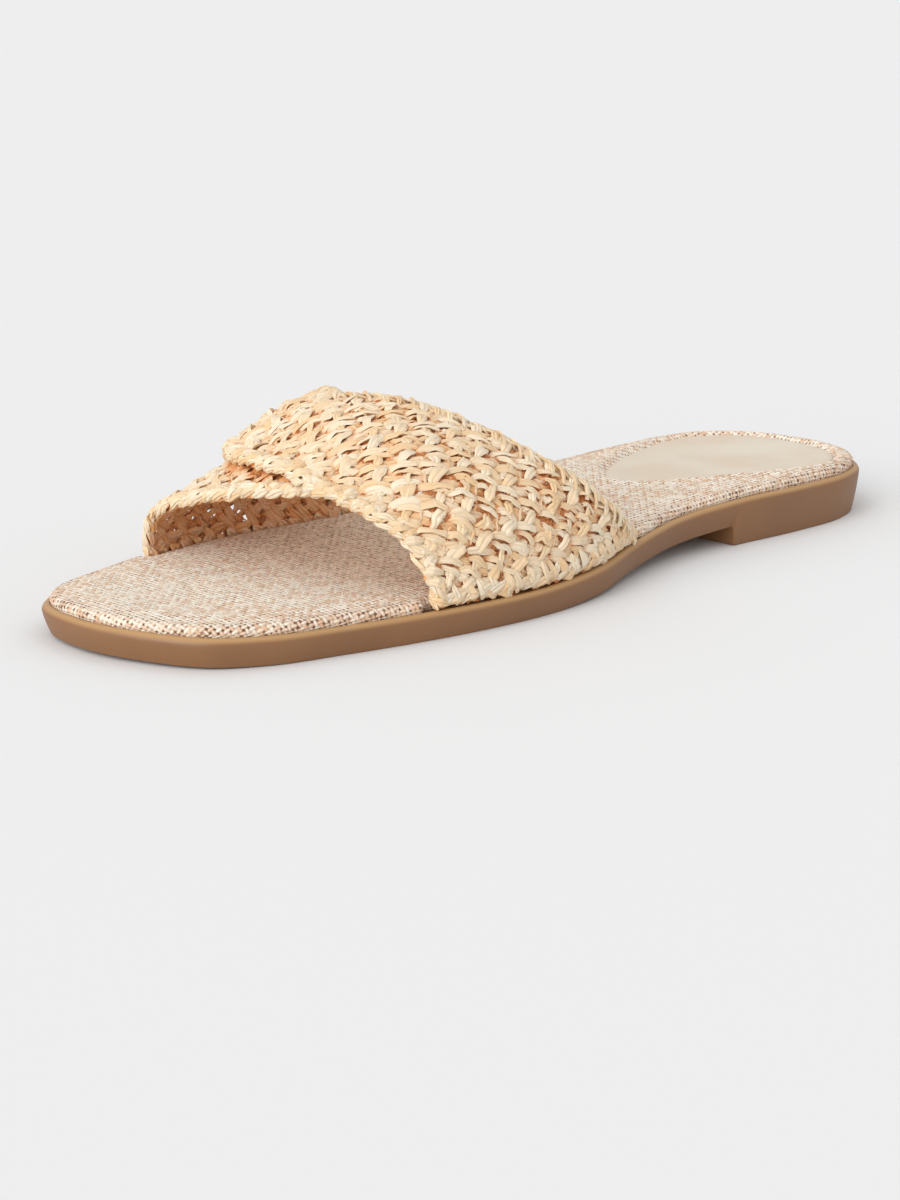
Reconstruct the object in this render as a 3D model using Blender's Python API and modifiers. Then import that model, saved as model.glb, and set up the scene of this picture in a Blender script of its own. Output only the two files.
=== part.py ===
# Woven flat sandal, left shoe: a moulded sole, a linen footbed and two crossing woven bands.
# +X runs from heel to toe, +Y to the wearer's left (the outer side of the foot), +Z up.
# Sizes are millimetres until a mesh is made; the origin is under the middle of the shoe, on the floor.

from collections import namedtuple

import bmesh
import bpy
import numpy as np

MM = 0.001

# Sole
SOLE_LENGTH = 250.0
TOE_TIP_Y = -4.0
HEEL_SEAT_HEIGHT = 12.4
BALL_HEIGHT = 6.7
SEAT_END = 58.0
BALL_START = 162.0
HEEL_BREAST = 69.0
BREAST_LEAN = 0.4
WAIST_THICKNESS = 7.0
SPRING_START = 204.0
TOE_SPRING = 0.9
WALL_DRAFT = 1.6
BOTTOM_EDGE = 0.9
RIM_EDGE = 0.5
EDGE_ROUND = 0.3

# Footbed
FOOTBED_THICKNESS = 2.7
FOOTBED_EDGE = 1.3
FOOTBED_UNDER_EDGE = 0.5
RIM_WIDTH = 1.8
SEAT_GAP = 0.3

# Woven bands
BAND_THICKNESS = 3.0
BAND_RIM_SETBACK = 1.0
BAND_STEP = 2.7
FOOT_GAP = 0.4
SIDE_GAP = 0.6
LET_IN_RAMP = 4.0
LET_IN_MARGIN = 3.0
STEP_START = 0.04
STEP_END = 0.22
PRESS_START = 0.80
PRESSED_STEP = 0.8

# Mesh fineness
STATIONS = 104
BAND_ROWS = 46
BAND_COLUMNS = 12
SECTION_SAMPLES = 240
OUTLINE_SAMPLES = 600
EDGE_STEPS = 4
BREAST_CLEAR = 1.5
SHARP_ANGLE = 0.7
WELD_DISTANCE = 1e-7

# Small steps that measure which way the arch faces
PROBE_TURN = 0.004
PROBE_STATION = 0.6

# Half widths of the sole from its axis, at stations from the back of the heel
Outline = namedtuple("Outline", "station outer inner")
OUTLINE = [
    Outline(4, 18.0, 18.0),
    Outline(12, 26.8, 26.8),
    Outline(24, 31.8, 31.6),
    Outline(42, 33.2, 32.6),
    Outline(68, 32.4, 31.0),
    Outline(92, 32.6, 31.6),
    Outline(112, 37.4, 34.4),
    Outline(132, 44.2, 39.0),
    Outline(152, 46.6, 42.2),
    Outline(172, 45.8, 43.8),
    Outline(192, 42.8, 43.0),
    Outline(210, 38.8, 39.2),
    Outline(226, 34.6, 33.8),
    Outline(238, 27.4, 29.0),
    Outline(246, 13.6, 22.0),
]

# Arch of the lower band over the foot: ridge height and side offset, how square each side is, and its swell
Arch = namedtuple("Arch", "station ridge_z ridge_y outer_square inner_square outer_swell inner_swell")
ARCHES = [
    Arch(105, 38.0, -4.0, 2.4, 2.8, 3.0, 2.0),
    Arch(130, 40.4, -5.0, 2.1, 2.8, 3.0, 2.0),
    Arch(150, 41.8, -6.0, 2.0, 2.7, 2.8, 2.0),
    Arch(165, 42.8, -6.0, 2.0, 2.4, 2.5, 2.0),
    Arch(178, 40.0, -5.0, 2.2, 2.0, 1.5, 2.0),
    Arch(190, 33.6, -4.0, 2.1, 2.0, 0.5, 2.0),
    Arch(200, 29.2, -3.0, 2.0, 2.2, 0.0, 2.0),
    Arch(212, 24.0, -3.0, 2.0, 2.1, 0.0, 2.0),
]

# Front and rear edge of each band, at a fraction of the way round from the outer to the inner sole edge
Edge = namedtuple("Edge", "turn front rear")
UPPER_BAND = [
    Edge(0.00, 185.5, 112.0),
    Edge(0.06, 187.0, 118.5),
    Edge(0.14, 189.6, 132.0),
    Edge(0.22, 193.6, 143.0),
    Edge(0.32, 196.2, 151.0),
    Edge(0.46, 195.8, 159.0),
    Edge(0.57, 195.4, 165.0),
    Edge(0.66, 193.5, 158.5),
    Edge(0.74, 187.0, 149.0),
    Edge(0.86, 176.0, 141.5),
    Edge(1.00, 164.0, 138.0),
]
LOWER_BAND = [
    Edge(0.25, 186.0, 160.0),
    Edge(0.36, 194.6, 163.0),
    Edge(0.47, 200.4, 167.0),
    Edge(0.58, 204.4, 170.0),
    Edge(0.66, 206.4, 163.0),
    Edge(0.74, 207.4, 154.0),
    Edge(0.86, 206.8, 146.5),
    Edge(1.00, 205.0, 143.0),
]

# Where the bands stand on the rim along each side of the foot, and how thick they are there
Stand = namedtuple("Stand", "rear front depth")
OUTER_STAND = Stand(UPPER_BAND[0].rear, UPPER_BAND[0].front, BAND_THICKNESS)
INNER_STAND = Stand(UPPER_BAND[-1].rear, LOWER_BAND[-1].front, BAND_THICKNESS + PRESSED_STEP)


def smooth_step(value, low, high):
    """Rises from 0 at low to 1 at high with level ends."""
    part = np.clip((np.asarray(value, float) - low) / (high - low), 0.0, 1.0)
    return part * part * (3.0 - 2.0 * part)


def smooth_curve(keys, values, at):
    """Cubic through a table's rows, each row's slope taken from its two neighbours."""
    keys = np.asarray(keys, float)
    values = np.asarray(values, float)
    slopes = np.gradient(values, keys, axis=0)
    at = np.clip(np.asarray(at, float), keys[0], keys[-1])
    row = np.clip(np.searchsorted(keys, at, side="right") - 1, 0, len(keys) - 2)
    span = keys[row + 1] - keys[row]
    part = (at - keys[row]) / span
    if values.ndim == 2:
        span = span[:, None]
        part = part[:, None]
    start = (1 + 2 * part) * (1 - part) ** 2 * values[row] + part * (1 - part) ** 2 * span * slopes[row]
    end = part ** 2 * (3 - 2 * part) * values[row + 1] + part ** 2 * (part - 1) * span * slopes[row + 1]
    return start + end


def column(table, name):
    return [getattr(row, name) for row in table]


def side_curve(side):
    """Dense points along one side of the sole outline, from the heel's back to the toe's tip."""
    half_widths = column(OUTLINE, side)
    sign = 1.0 if side == "outer" else -1.0
    points = [(0.0, 0.0)]
    points += [(row.station, sign * width) for row, width in zip(OUTLINE, half_widths)]
    points += [(SOLE_LENGTH, TOE_TIP_Y)]
    points = np.array(points)
    # The mirrored neighbour at each end makes the outline cross the axis at a right angle
    points = np.vstack([points[1] * (1, -1), points, (points[-2][0], 2 * TOE_TIP_Y - points[-2][1])])
    steps = np.linalg.norm(np.diff(points, axis=0), axis=1)
    lengths = np.concatenate([[0.0], np.cumsum(steps)])
    return smooth_curve(lengths, points, np.linspace(lengths[1], lengths[-2], OUTLINE_SAMPLES))


OUTER_SIDE = side_curve("outer")
INNER_SIDE = side_curve("inner")


def half_width(side, station):
    points = OUTER_SIDE if side == "outer" else INNER_SIDE
    return np.abs(np.interp(station, points[:, 0], points[:, 1]))


def sole_stations():
    """Stations along the sole, close together at both round ends, doubled at the heel's front face."""
    swing = np.linspace(0.0, np.pi, STATIONS + 1)
    stations = SOLE_LENGTH * (1.0 - np.cos(swing)) / 2.0
    stations = stations[np.abs(stations - HEEL_BREAST) > BREAST_CLEAR]
    return np.sort(np.concatenate([stations, [HEEL_BREAST, HEEL_BREAST + BREAST_LEAN]]))


def outline_ring():
    """One closed loop: up the outer side from heel to toe, then back down the inner side."""
    stations = sole_stations()
    outer = np.column_stack([stations, np.interp(stations, OUTER_SIDE[:, 0], OUTER_SIDE[:, 1])])
    inner = np.column_stack([stations, np.interp(stations, INNER_SIDE[:, 0], INNER_SIDE[:, 1])])
    return np.vstack([outer, inner[-2:0:-1]])


def inward(ring):
    """Unit directions pointing into the outline at each of its points."""
    along = np.roll(ring, -1, axis=0) - np.roll(ring, 1, axis=0)
    along /= np.linalg.norm(along, axis=1)[:, None]
    return np.column_stack([along[:, 1], -along[:, 0]])


def toe_rise(station):
    return TOE_SPRING * np.clip((station - SPRING_START) / (SOLE_LENGTH - SPRING_START), 0.0, None) ** 2


def rim_height(station):
    """Height of the sole's rim: level heel seat, slope through the waist, level ball, sprung toe."""
    drop = (HEEL_SEAT_HEIGHT - BALL_HEIGHT) * smooth_step(station, SEAT_END, BALL_START)
    return HEEL_SEAT_HEIGHT - drop + toe_rise(station)


def bottom_height(station):
    """Underside: the heel and the ball stand on the floor, the waist and the toe are clear of it."""
    waist = np.clip(rim_height(station) - toe_rise(station) - WAIST_THICKNESS, 0.0, None)
    in_front_of_heel = station > HEEL_BREAST + BREAST_LEAN / 2
    return np.where(in_front_of_heel, waist, 0.0) + toe_rise(station)


def to_mesh(name, points, faces, material):
    mesh = bpy.data.meshes.new(name)
    mesh.from_pydata([tuple(point * MM) for point in points], [], faces)
    shape = bmesh.new()
    shape.from_mesh(mesh)
    bmesh.ops.remove_doubles(shape, verts=shape.verts, dist=WELD_DISTANCE)
    bmesh.ops.recalc_face_normals(shape, faces=shape.faces)
    shape.to_mesh(mesh)
    shape.free()
    mesh.shade_smooth()
    mesh.set_sharp_from_angle(angle=SHARP_ANGLE)
    mesh.materials.append(material)
    return bpy.data.objects.new(name, mesh)


def loft(name, rings, material):
    """Closed solid through stacked rings of the sole's outline, closed across at both ends."""
    count = len(rings[0])
    points = np.vstack(rings)
    faces = []
    for level in range(len(rings) - 1):
        low = level * count
        for this in range(count):
            after = (this + 1) % count
            faces.append((low + this, low + after, low + count + after, low + count + this))
    for base in (0, (len(rings) - 1) * count):
        half = count // 2
        faces.append((base, base + 1, base + count - 1))
        for this in range(1, half - 1):
            faces.append((base + this, base + this + 1, base + count - this - 1, base + count - this))
        faces.append((base + half - 1, base + half, base + half + 1))
    return to_mesh(name, points, faces, material)


def ring_at(ring, direction, inset, height):
    inset = np.broadcast_to(inset, len(ring))
    return np.column_stack([ring + direction * inset[:, None], height])


def make_outsole(material):
    ring = outline_ring()
    direction = inward(ring)
    station = ring[:, 0]
    bottom = bottom_height(station)
    rim = rim_height(station)
    rings = [
        ring_at(ring, direction, WALL_DRAFT + BOTTOM_EDGE, bottom),
        ring_at(ring, direction, WALL_DRAFT + EDGE_ROUND * BOTTOM_EDGE, bottom + EDGE_ROUND * BOTTOM_EDGE),
        ring_at(ring, direction, WALL_DRAFT, bottom + BOTTOM_EDGE),
        ring_at(ring, direction, 0.0, rim - RIM_EDGE),
        ring_at(ring, direction, EDGE_ROUND * RIM_EDGE, rim - EDGE_ROUND * RIM_EDGE),
        ring_at(ring, direction, RIM_EDGE, rim),
    ]
    return loft("outsole", rings, material)


def footbed_inset(ring):
    """Distance of the footbed's edge from the rim: wider where a band stands beside it."""
    inset = np.full(len(ring), RIM_WIDTH)
    for stand, on_side in ((OUTER_STAND, ring[:, 1] > 0), (INNER_STAND, ring[:, 1] <= 0)):
        depth = BAND_RIM_SETBACK + stand.depth + SIDE_GAP - RIM_WIDTH
        rear = stand.rear - LET_IN_MARGIN
        front = stand.front + LET_IN_MARGIN
        rise = smooth_step(ring[:, 0], rear - LET_IN_RAMP, rear)
        fall = smooth_step(ring[:, 0], front, front + LET_IN_RAMP)
        inset += np.where(on_side, depth * (rise - fall), 0.0)
    return inset


def make_footbed(material):
    ring = outline_ring()
    direction = inward(ring)
    inset = footbed_inset(ring)
    base = rim_height(ring[:, 0]) + SEAT_GAP
    top = base + FOOTBED_THICKNESS
    rings = [
        ring_at(ring, direction, inset + FOOTBED_UNDER_EDGE, base),
        ring_at(ring, direction, inset, base + FOOTBED_UNDER_EDGE),
    ]
    for turn in np.linspace(0.0, np.pi / 2, EDGE_STEPS):
        step_in = FOOTBED_EDGE * (1.0 - np.cos(turn))
        rings.append(ring_at(ring, direction, inset + step_in, top - FOOTBED_EDGE * (1.0 - np.sin(turn))))
    return loft("footbed", rings, material)


def arch_section(station):
    """Half-oval arch over the foot at one station, as points from the outer to the inner sole edge."""
    keys = column(ARCHES, "station")
    at = np.array([station])
    ridge_z = smooth_curve(keys, column(ARCHES, "ridge_z"), at)
    ridge_y = smooth_curve(keys, column(ARCHES, "ridge_y"), at)
    foot_z = rim_height(at) + FOOT_GAP
    foot_inset = BAND_RIM_SETBACK + BAND_THICKNESS / 2
    outer_foot = half_width("outer", at) - foot_inset
    inner_foot = -(half_width("inner", at) - foot_inset - PRESSED_STEP)
    swing = np.linspace(0.0, np.pi / 2, SECTION_SAMPLES)
    halves = []
    for side, foot_y, sign in (("outer", outer_foot, 1.0), ("inner", inner_foot, -1.0)):
        power = 2.0 / smooth_curve(keys, column(ARCHES, side + "_square"), at)
        swell = sign * smooth_curve(keys, column(ARCHES, side + "_swell"), at)
        across = np.clip(np.cos(swing), 0.0, 1.0) ** power
        up = np.sin(swing) ** power
        y = ridge_y + (foot_y - ridge_y) * across + swell * np.sin(2 * swing)
        z = foot_z + (ridge_z - foot_z) * up
        halves.append(np.column_stack([y, z]))
    return np.vstack([halves[0], halves[1][-2::-1]])


def arch_points(station, turns):
    """Points at fractions of the way round the arch at one station."""
    section = arch_section(station)
    steps = np.linalg.norm(np.diff(section, axis=0), axis=1)
    lengths = np.concatenate([[0.0], np.cumsum(steps)])
    at = np.asarray(turns) * lengths[-1]
    y = np.interp(at, lengths, section[:, 0])
    z = np.interp(at, lengths, section[:, 1])
    return np.column_stack([np.full(len(at), station), y, z])


def band_point(station, turn, lift):
    """Point on the arch, moved out along the surface's own direction by lift."""
    near = arch_points(station, [turn - PROBE_TURN, turn, turn + PROBE_TURN])
    ahead = arch_points(station + PROBE_STATION, [turn])[0]
    behind = arch_points(station - PROBE_STATION, [turn])[0]
    normal = np.cross(ahead - behind, near[2] - near[0])
    normal /= np.linalg.norm(normal)
    inside = np.array([station, 0.0, rim_height(station)])
    outward = normal if normal @ (near[1] - inside) > 0 else -normal
    return near[1] + outward * lift


def step_at(turn):
    """How far the upper band stands off the arch: clear of the lower band, pressed close at the inner rim."""
    rise = BAND_STEP * smooth_step(turn, STEP_START, STEP_END)
    return rise - (BAND_STEP - PRESSED_STEP) * smooth_step(turn, PRESS_START, 1.0)


def make_band(name, edges, stands_off, material):
    """A band as a grid between its two edges, thickened to the height of the weave."""
    turns = np.linspace(edges[0].turn, edges[-1].turn, BAND_ROWS + 1)
    keys = column(edges, "turn")
    fronts = smooth_curve(keys, column(edges, "front"), turns)
    rears = smooth_curve(keys, column(edges, "rear"), turns)
    points = []
    for turn, front, rear in zip(turns, fronts, rears):
        lift = step_at(turn) if stands_off else 0.0
        for station in np.linspace(rear, front, BAND_COLUMNS + 1):
            points.append(band_point(station, turn, lift))
    width = BAND_COLUMNS + 1
    faces = []
    for row in range(BAND_ROWS):
        for cell in range(BAND_COLUMNS):
            first = row * width + cell
            faces.append((first, first + 1, first + width + 1, first + width))
    band = to_mesh(name, np.array(points), faces, material)
    shell = band.modifiers.new("wall", "SOLIDIFY")
    shell.thickness = BAND_THICKNESS * MM
    shell.offset = 0.0
    shell.use_even_offset = True
    return band


def make_upper(material):
    """Both bands in one solid, joined where the outer one lies on the inner one."""
    upper = make_band("upper", UPPER_BAND, True, material)
    lower = make_band("lower_band", LOWER_BAND, False, material)
    join = upper.modifiers.new("join_bands", "BOOLEAN")
    join.operation = "UNION"
    join.solver = "EXACT"
    join.object = lower
    lower.hide_render = True
    lower.display_type = "WIRE"
    return upper, lower


def make_material(name, colour, roughness):
    material = bpy.data.materials.new(name)
    material.use_nodes = True
    shader = material.node_tree.nodes["Principled BSDF"]
    shader.inputs["Base Color"].default_value = (*colour, 1.0)
    shader.inputs["Roughness"].default_value = roughness
    shader.inputs["Metallic"].default_value = 0.0
    return material


def main():
    for item in list(bpy.data.objects):
        bpy.data.objects.remove(item, do_unlink=True)
    parts = bpy.data.collections.new("woven_sandal")
    helpers = bpy.data.collections.new("joined_shapes")
    bpy.context.scene.collection.children.link(parts)
    bpy.context.scene.collection.children.link(helpers)

    outsole = make_outsole(make_material("moulded_rubber", (0.33, 0.18, 0.08), 0.55))
    footbed = make_footbed(make_material("linen_cover", (0.72, 0.60, 0.48), 0.9))
    upper, lower = make_upper(make_material("paper_raffia", (0.86, 0.68, 0.44), 0.6))

    middle_y = (OUTER_SIDE[:, 1].max() + INNER_SIDE[:, 1].min()) / 2
    origin = bpy.data.objects.new("shoe_origin", None)
    origin.location = (-SOLE_LENGTH / 2 * MM, -middle_y * MM, 0.0)
    parts.objects.link(origin)
    for piece, group in ((outsole, parts), (footbed, parts), (upper, parts), (lower, helpers)):
        group.objects.link(piece)
        piece.parent = origin


main()
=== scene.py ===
# %% [markdown]
# # A woven flat sandal
# The sandal is a slip-on: a moulded rubber sole, a padded footbed covered with linen, and two crossing
# bands crocheted from flat paper raffia. The measured solids of those three pieces are already there as a
# frame. This lesson dresses them. Each step first says what the piece is on the real shoe, then makes it.
# Sizes are millimetres in the shoe's own directions: along from the back of the heel, across to the outer
# side, and up from the floor. Only the last step of each piece turns them into the frame's metres.

# %% Load the frame
from collections import namedtuple

import bmesh
import bpy
import numpy as np
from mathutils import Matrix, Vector
from mathutils.geometry import delaunay_2d_cdt


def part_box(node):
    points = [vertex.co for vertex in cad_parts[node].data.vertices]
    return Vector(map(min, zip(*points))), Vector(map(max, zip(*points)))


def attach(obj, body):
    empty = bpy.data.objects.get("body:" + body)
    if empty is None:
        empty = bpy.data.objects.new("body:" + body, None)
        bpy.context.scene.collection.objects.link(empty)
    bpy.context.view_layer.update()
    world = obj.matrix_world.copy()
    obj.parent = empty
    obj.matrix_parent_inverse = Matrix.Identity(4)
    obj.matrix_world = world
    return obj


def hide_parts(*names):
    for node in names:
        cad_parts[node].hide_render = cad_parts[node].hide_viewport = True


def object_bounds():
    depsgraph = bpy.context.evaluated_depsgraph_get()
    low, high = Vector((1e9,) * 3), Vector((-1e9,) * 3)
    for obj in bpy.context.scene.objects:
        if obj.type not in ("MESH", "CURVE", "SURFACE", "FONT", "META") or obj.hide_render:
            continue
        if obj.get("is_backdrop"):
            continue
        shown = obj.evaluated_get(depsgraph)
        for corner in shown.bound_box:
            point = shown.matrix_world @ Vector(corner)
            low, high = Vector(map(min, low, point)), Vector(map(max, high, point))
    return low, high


MM = 0.001
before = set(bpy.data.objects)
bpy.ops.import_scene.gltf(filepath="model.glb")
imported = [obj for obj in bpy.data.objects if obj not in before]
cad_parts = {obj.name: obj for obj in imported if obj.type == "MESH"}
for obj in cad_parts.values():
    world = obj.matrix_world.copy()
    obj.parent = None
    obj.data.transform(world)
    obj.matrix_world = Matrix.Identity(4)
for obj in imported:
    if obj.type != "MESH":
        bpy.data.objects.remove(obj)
cad_low, cad_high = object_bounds()
sole_low, sole_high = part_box("outsole")
print("frame nodes", sorted(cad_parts), "box in mm", [round(x / MM, 1) for x in cad_high - cad_low])

# %% [markdown]
# ## Camera
# The picture looks down on the outer side of the toe from a little over half a metre away. Perspective
# makes the toe look large, and only the distance decides how much: the camera stands where the picture
# was taken from, and the lens is then chosen so that the whole shoe fits the upright frame.

# %% Place the camera
CAMERA_PLACE = Vector((0.4316, 0.4325, 0.1520))
CAMERA_AIM = Vector((0.0131, -0.0039, -0.0080))
CAMERA_LENS = 75.5

camera = bpy.data.objects.new("camera", bpy.data.cameras.new("camera"))
camera.data.lens = CAMERA_LENS
camera.location = CAMERA_PLACE
camera.rotation_euler = (CAMERA_AIM - CAMERA_PLACE).to_track_quat("-Z", "Y").to_euler()
bpy.context.scene.collection.objects.link(camera)
bpy.context.scene.camera = camera
print("camera is", round((CAMERA_AIM - CAMERA_PLACE).length, 3), "m from the shoe")

# %% [markdown]
# ## Floor and light
# The shoe stands in a white studio. Lamps near the shoe would leave a bright pool on the floor, so the
# light comes from far away. A pale sky fills every side, a wide, soft sun stands in front of the toe and
# a weaker one overhead. A third sun, low in front of the toe, looks under the bands, whose inside is too
# dark without it.

# %% Light the studio
SKY_STRENGTH = 0.77

Sun = namedtuple("Sun", "name comes_from strength degrees")
SUNS = [
    Sun("key_light", (0.66, 0.10, 0.80), 0.30, 24.0),
    Sun("top_light", (-0.25, 0.35, 1.0), 0.15, 70.0),
    Sun("toe_light", (1.0, 0.20, 0.27), 2.2, 50.0),
]


def add_sun(sun):
    """A far lamp. The degrees that it spans in the sky make its shadows soft."""
    lamp = bpy.data.lights.new(sun.name, "SUN")
    lamp.energy = sun.strength
    lamp.angle = np.radians(sun.degrees)
    holder = bpy.data.objects.new(sun.name, lamp)
    holder.rotation_euler = (-Vector(sun.comes_from)).to_track_quat("-Z", "Y").to_euler()
    bpy.context.scene.collection.objects.link(holder)


sky = bpy.data.worlds.new("studio_sky")
sky.use_nodes = True
background = sky.node_tree.nodes["Background"]
background.inputs["Color"].default_value = (1.0, 1.0, 1.0, 1.0)
background.inputs["Strength"].default_value = SKY_STRENGTH
bpy.context.scene.world = sky
bpy.context.scene.view_settings.view_transform = "Standard"
for sun in SUNS:
    add_sun(sun)
print("studio has a pale sky and", len(SUNS), "soft suns")

# %% Lay the floor
FLOOR_SIZE = 40.0
FLOOR_CELLS = 8
FLOOR_TONE = 0.80
FLOOR_ROUGHNESS = 0.9
FLOOR_SHINE = 0.1


def make_floor():
    shape = bmesh.new()
    bmesh.ops.create_grid(shape, x_segments=FLOOR_CELLS, y_segments=FLOOR_CELLS, size=FLOOR_SIZE / 2)
    mesh = bpy.data.meshes.new("studio_floor")
    shape.to_mesh(mesh)
    shape.free()
    finish = bpy.data.materials.new("studio_floor")
    finish.use_nodes = True
    shader = finish.node_tree.nodes["Principled BSDF"]
    shader.inputs["Base Color"].default_value = (FLOOR_TONE, FLOOR_TONE, FLOOR_TONE, 1.0)
    shader.inputs["Roughness"].default_value = FLOOR_ROUGHNESS
    shader.inputs["Specular IOR Level"].default_value = FLOOR_SHINE
    mesh.materials.append(finish)
    floor = bpy.data.objects.new("studio_floor", mesh)
    bpy.context.scene.collection.objects.link(floor)
    floor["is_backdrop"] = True


make_floor()
print("studio floor is", FLOOR_SIZE, "m wide")

# %% [markdown]
# ## The outline of the last
# Everything grows from the sole's outline. A drawn outline could be traced as hundreds of points. It
# needs only a few half widths at stations along the foot, and a smooth curve through them, as a pattern
# cutter would swing one with a flexible rule. The same table is behind the frame's solids, so the pieces
# fit them.

# %% Write the curve helpers
def smooth_step(value, low, high):
    """Rises from 0 at low to 1 at high with level ends."""
    part = np.clip((np.asarray(value, float) - low) / (high - low), 0.0, 1.0)
    return part * part * (3.0 - 2.0 * part)


def smooth_curve(keys, values, at):
    """Cubic through a table's rows, each row's slope taken from its two neighbours."""
    keys = np.asarray(keys, float)
    values = np.asarray(values, float)
    slopes = np.gradient(values, keys, axis=0)
    at = np.clip(np.asarray(at, float), keys[0], keys[-1])
    row = np.clip(np.searchsorted(keys, at, side="right") - 1, 0, len(keys) - 2)
    span = keys[row + 1] - keys[row]
    part = (at - keys[row]) / span
    if values.ndim == 2:
        span = span[..., None]
        part = part[..., None]
    start = (1 + 2 * part) * (1 - part) ** 2 * values[row] + part * (1 - part) ** 2 * span * slopes[row]
    end = part ** 2 * (3 - 2 * part) * values[row + 1] + part ** 2 * (part - 1) * span * slopes[row + 1]
    return start + end


def column(table, name):
    return [getattr(row, name) for row in table]


def run_length(points):
    """Distance along a line at each of its points."""
    steps = np.linalg.norm(np.diff(points, axis=0), axis=1)
    return np.concatenate([[0.0], np.cumsum(steps)])


def curve_between(points, samples):
    """Even samples of the smooth curve through points, from the second of them to the last but one."""
    lengths = run_length(points)
    return smooth_curve(lengths, points, np.linspace(lengths[1], lengths[-2], samples))


print("a smooth step is at", float(smooth_step(0.25, 0.0, 1.0)), "after a quarter of its way")

# %% Draw the sole's outline
SOLE_LENGTH = (sole_high.x - sole_low.x) / MM
TOE_TIP_Y = -4.0
OUTLINE_SAMPLES = 600

Outline = namedtuple("Outline", "station outer inner")
OUTLINE = [
    Outline(4, 18.0, 18.0),
    Outline(12, 26.8, 26.8),
    Outline(24, 31.8, 31.6),
    Outline(42, 33.2, 32.6),
    Outline(68, 32.4, 31.0),
    Outline(92, 32.6, 31.6),
    Outline(112, 37.4, 34.4),
    Outline(132, 44.2, 39.0),
    Outline(152, 46.6, 42.2),
    Outline(172, 45.8, 43.8),
    Outline(192, 42.8, 43.0),
    Outline(210, 38.8, 39.2),
    Outline(226, 34.6, 33.8),
    Outline(238, 27.4, 29.0),
    Outline(246, 13.6, 22.0),
]


def side_curve(side):
    """Dense points along one side of the sole outline, from the heel's back to the toe's tip."""
    sign = 1.0 if side == "outer" else -1.0
    points = [(0.0, 0.0)]
    points += [(row.station, sign * getattr(row, side)) for row in OUTLINE]
    points += [(SOLE_LENGTH, TOE_TIP_Y)]
    points = np.array(points)
    # The mirrored neighbour at each end makes the outline cross the axis at a right angle
    points = np.vstack([points[1] * (1, -1), points, (points[-2][0], 2 * TOE_TIP_Y - points[-2][1])])
    return curve_between(points, OUTLINE_SAMPLES)


OUTER_SIDE = side_curve("outer")
INNER_SIDE = side_curve("inner")
MIDDLE_Y = (OUTER_SIDE[:, 1].max() + INNER_SIDE[:, 1].min()) / 2
sole_width = OUTER_SIDE[:, 1].max() - INNER_SIDE[:, 1].min()
print("sole", round(SOLE_LENGTH, 1), "by", round(sole_width, 1), "mm")

# %% [markdown]
# ## Heights along the foot
# Seen from the side the rim is level over the heel, slopes through the waist and is level again under the
# ball, with a little spring at the toe. Underneath, the heel is a low block with a square front, and the
# waist is lifted off the floor. Two short functions of the station say all of that.

# %% Say how high the sole is
HEEL_SEAT_HEIGHT = 12.4
BALL_HEIGHT = 6.7
SEAT_END = 58.0
BALL_START = 162.0
HEEL_BREAST = 69.0
BREAST_LEAN = 0.4
BREAST_ROUND = 0.7
WAIST_THICKNESS = 7.0
SPRING_START = 204.0
TOE_SPRING = 0.9
WAIST_MIDDLE = 90.0


def toe_rise(station):
    return TOE_SPRING * np.clip((station - SPRING_START) / (SOLE_LENGTH - SPRING_START), 0.0, None) ** 2


def rim_height(station):
    drop = (HEEL_SEAT_HEIGHT - BALL_HEIGHT) * smooth_step(station, SEAT_END, BALL_START)
    return HEEL_SEAT_HEIGHT - drop + toe_rise(station)


def bottom_height(station):
    """Underside of the sole, with a small round at the foot and the root of the heel's front face."""
    waist = np.clip(rim_height(station) - toe_rise(station) - WAIST_THICKNESS, 0.0, None)
    into_round = np.clip(station - (HEEL_BREAST - BREAST_ROUND), 0.0, BREAST_ROUND)
    heel = BREAST_ROUND - np.sqrt(BREAST_ROUND ** 2 - into_round ** 2)
    past_face = np.clip(HEEL_BREAST + BREAST_LEAN + BREAST_ROUND - station, 0.0, BREAST_ROUND)
    root = BREAST_ROUND - np.sqrt(BREAST_ROUND ** 2 - past_face ** 2)
    in_front = station > HEEL_BREAST + BREAST_LEAN / 2
    return np.where(in_front, waist - root, heel) + toe_rise(station)


waist_gap = float(bottom_height(np.array(WAIST_MIDDLE)))
print("heel", HEEL_SEAT_HEIGHT, "mm, ball", BALL_HEIGHT, "mm, waist lifted", round(waist_gap, 1), "mm")

# %% [markdown]
# ## Turning points into pieces
# Every piece ends the same way: points in shoe millimetres become a mesh in the frame's metres, the mesh
# is smoothed, and the new object rides on the shoe's one body. One helper does it, so that no piece is
# forgotten.

# %% Write the helper for pieces
WELD_DISTANCE = 1e-7
SHARP_ANGLE = np.radians(50.0)


def to_frame(points):
    """Shoe millimetres into the frame's metres."""
    return (np.asarray(points, float) - (SOLE_LENGTH / 2, MIDDLE_Y, 0.0)) * MM


def make_piece(name, points, faces, weld=True, sharp=SHARP_ANGLE):
    mesh = bpy.data.meshes.new(name)
    mesh.from_pydata(to_frame(points).tolist(), [], faces)
    if weld:
        shape = bmesh.new()
        shape.from_mesh(mesh)
        bmesh.ops.remove_doubles(shape, verts=shape.verts, dist=WELD_DISTANCE)
        bmesh.ops.recalc_face_normals(shape, faces=shape.faces)
        shape.to_mesh(mesh)
        shape.free()
    mesh.shade_smooth()
    mesh.set_sharp_from_angle(angle=sharp)
    piece = bpy.data.objects.new(name, mesh)
    bpy.context.scene.collection.objects.link(piece)
    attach(piece, "root")
    triangles = sum(len(face.vertices) - 2 for face in mesh.polygons)
    print(name, "has", triangles, "triangles")
    return piece


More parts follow.
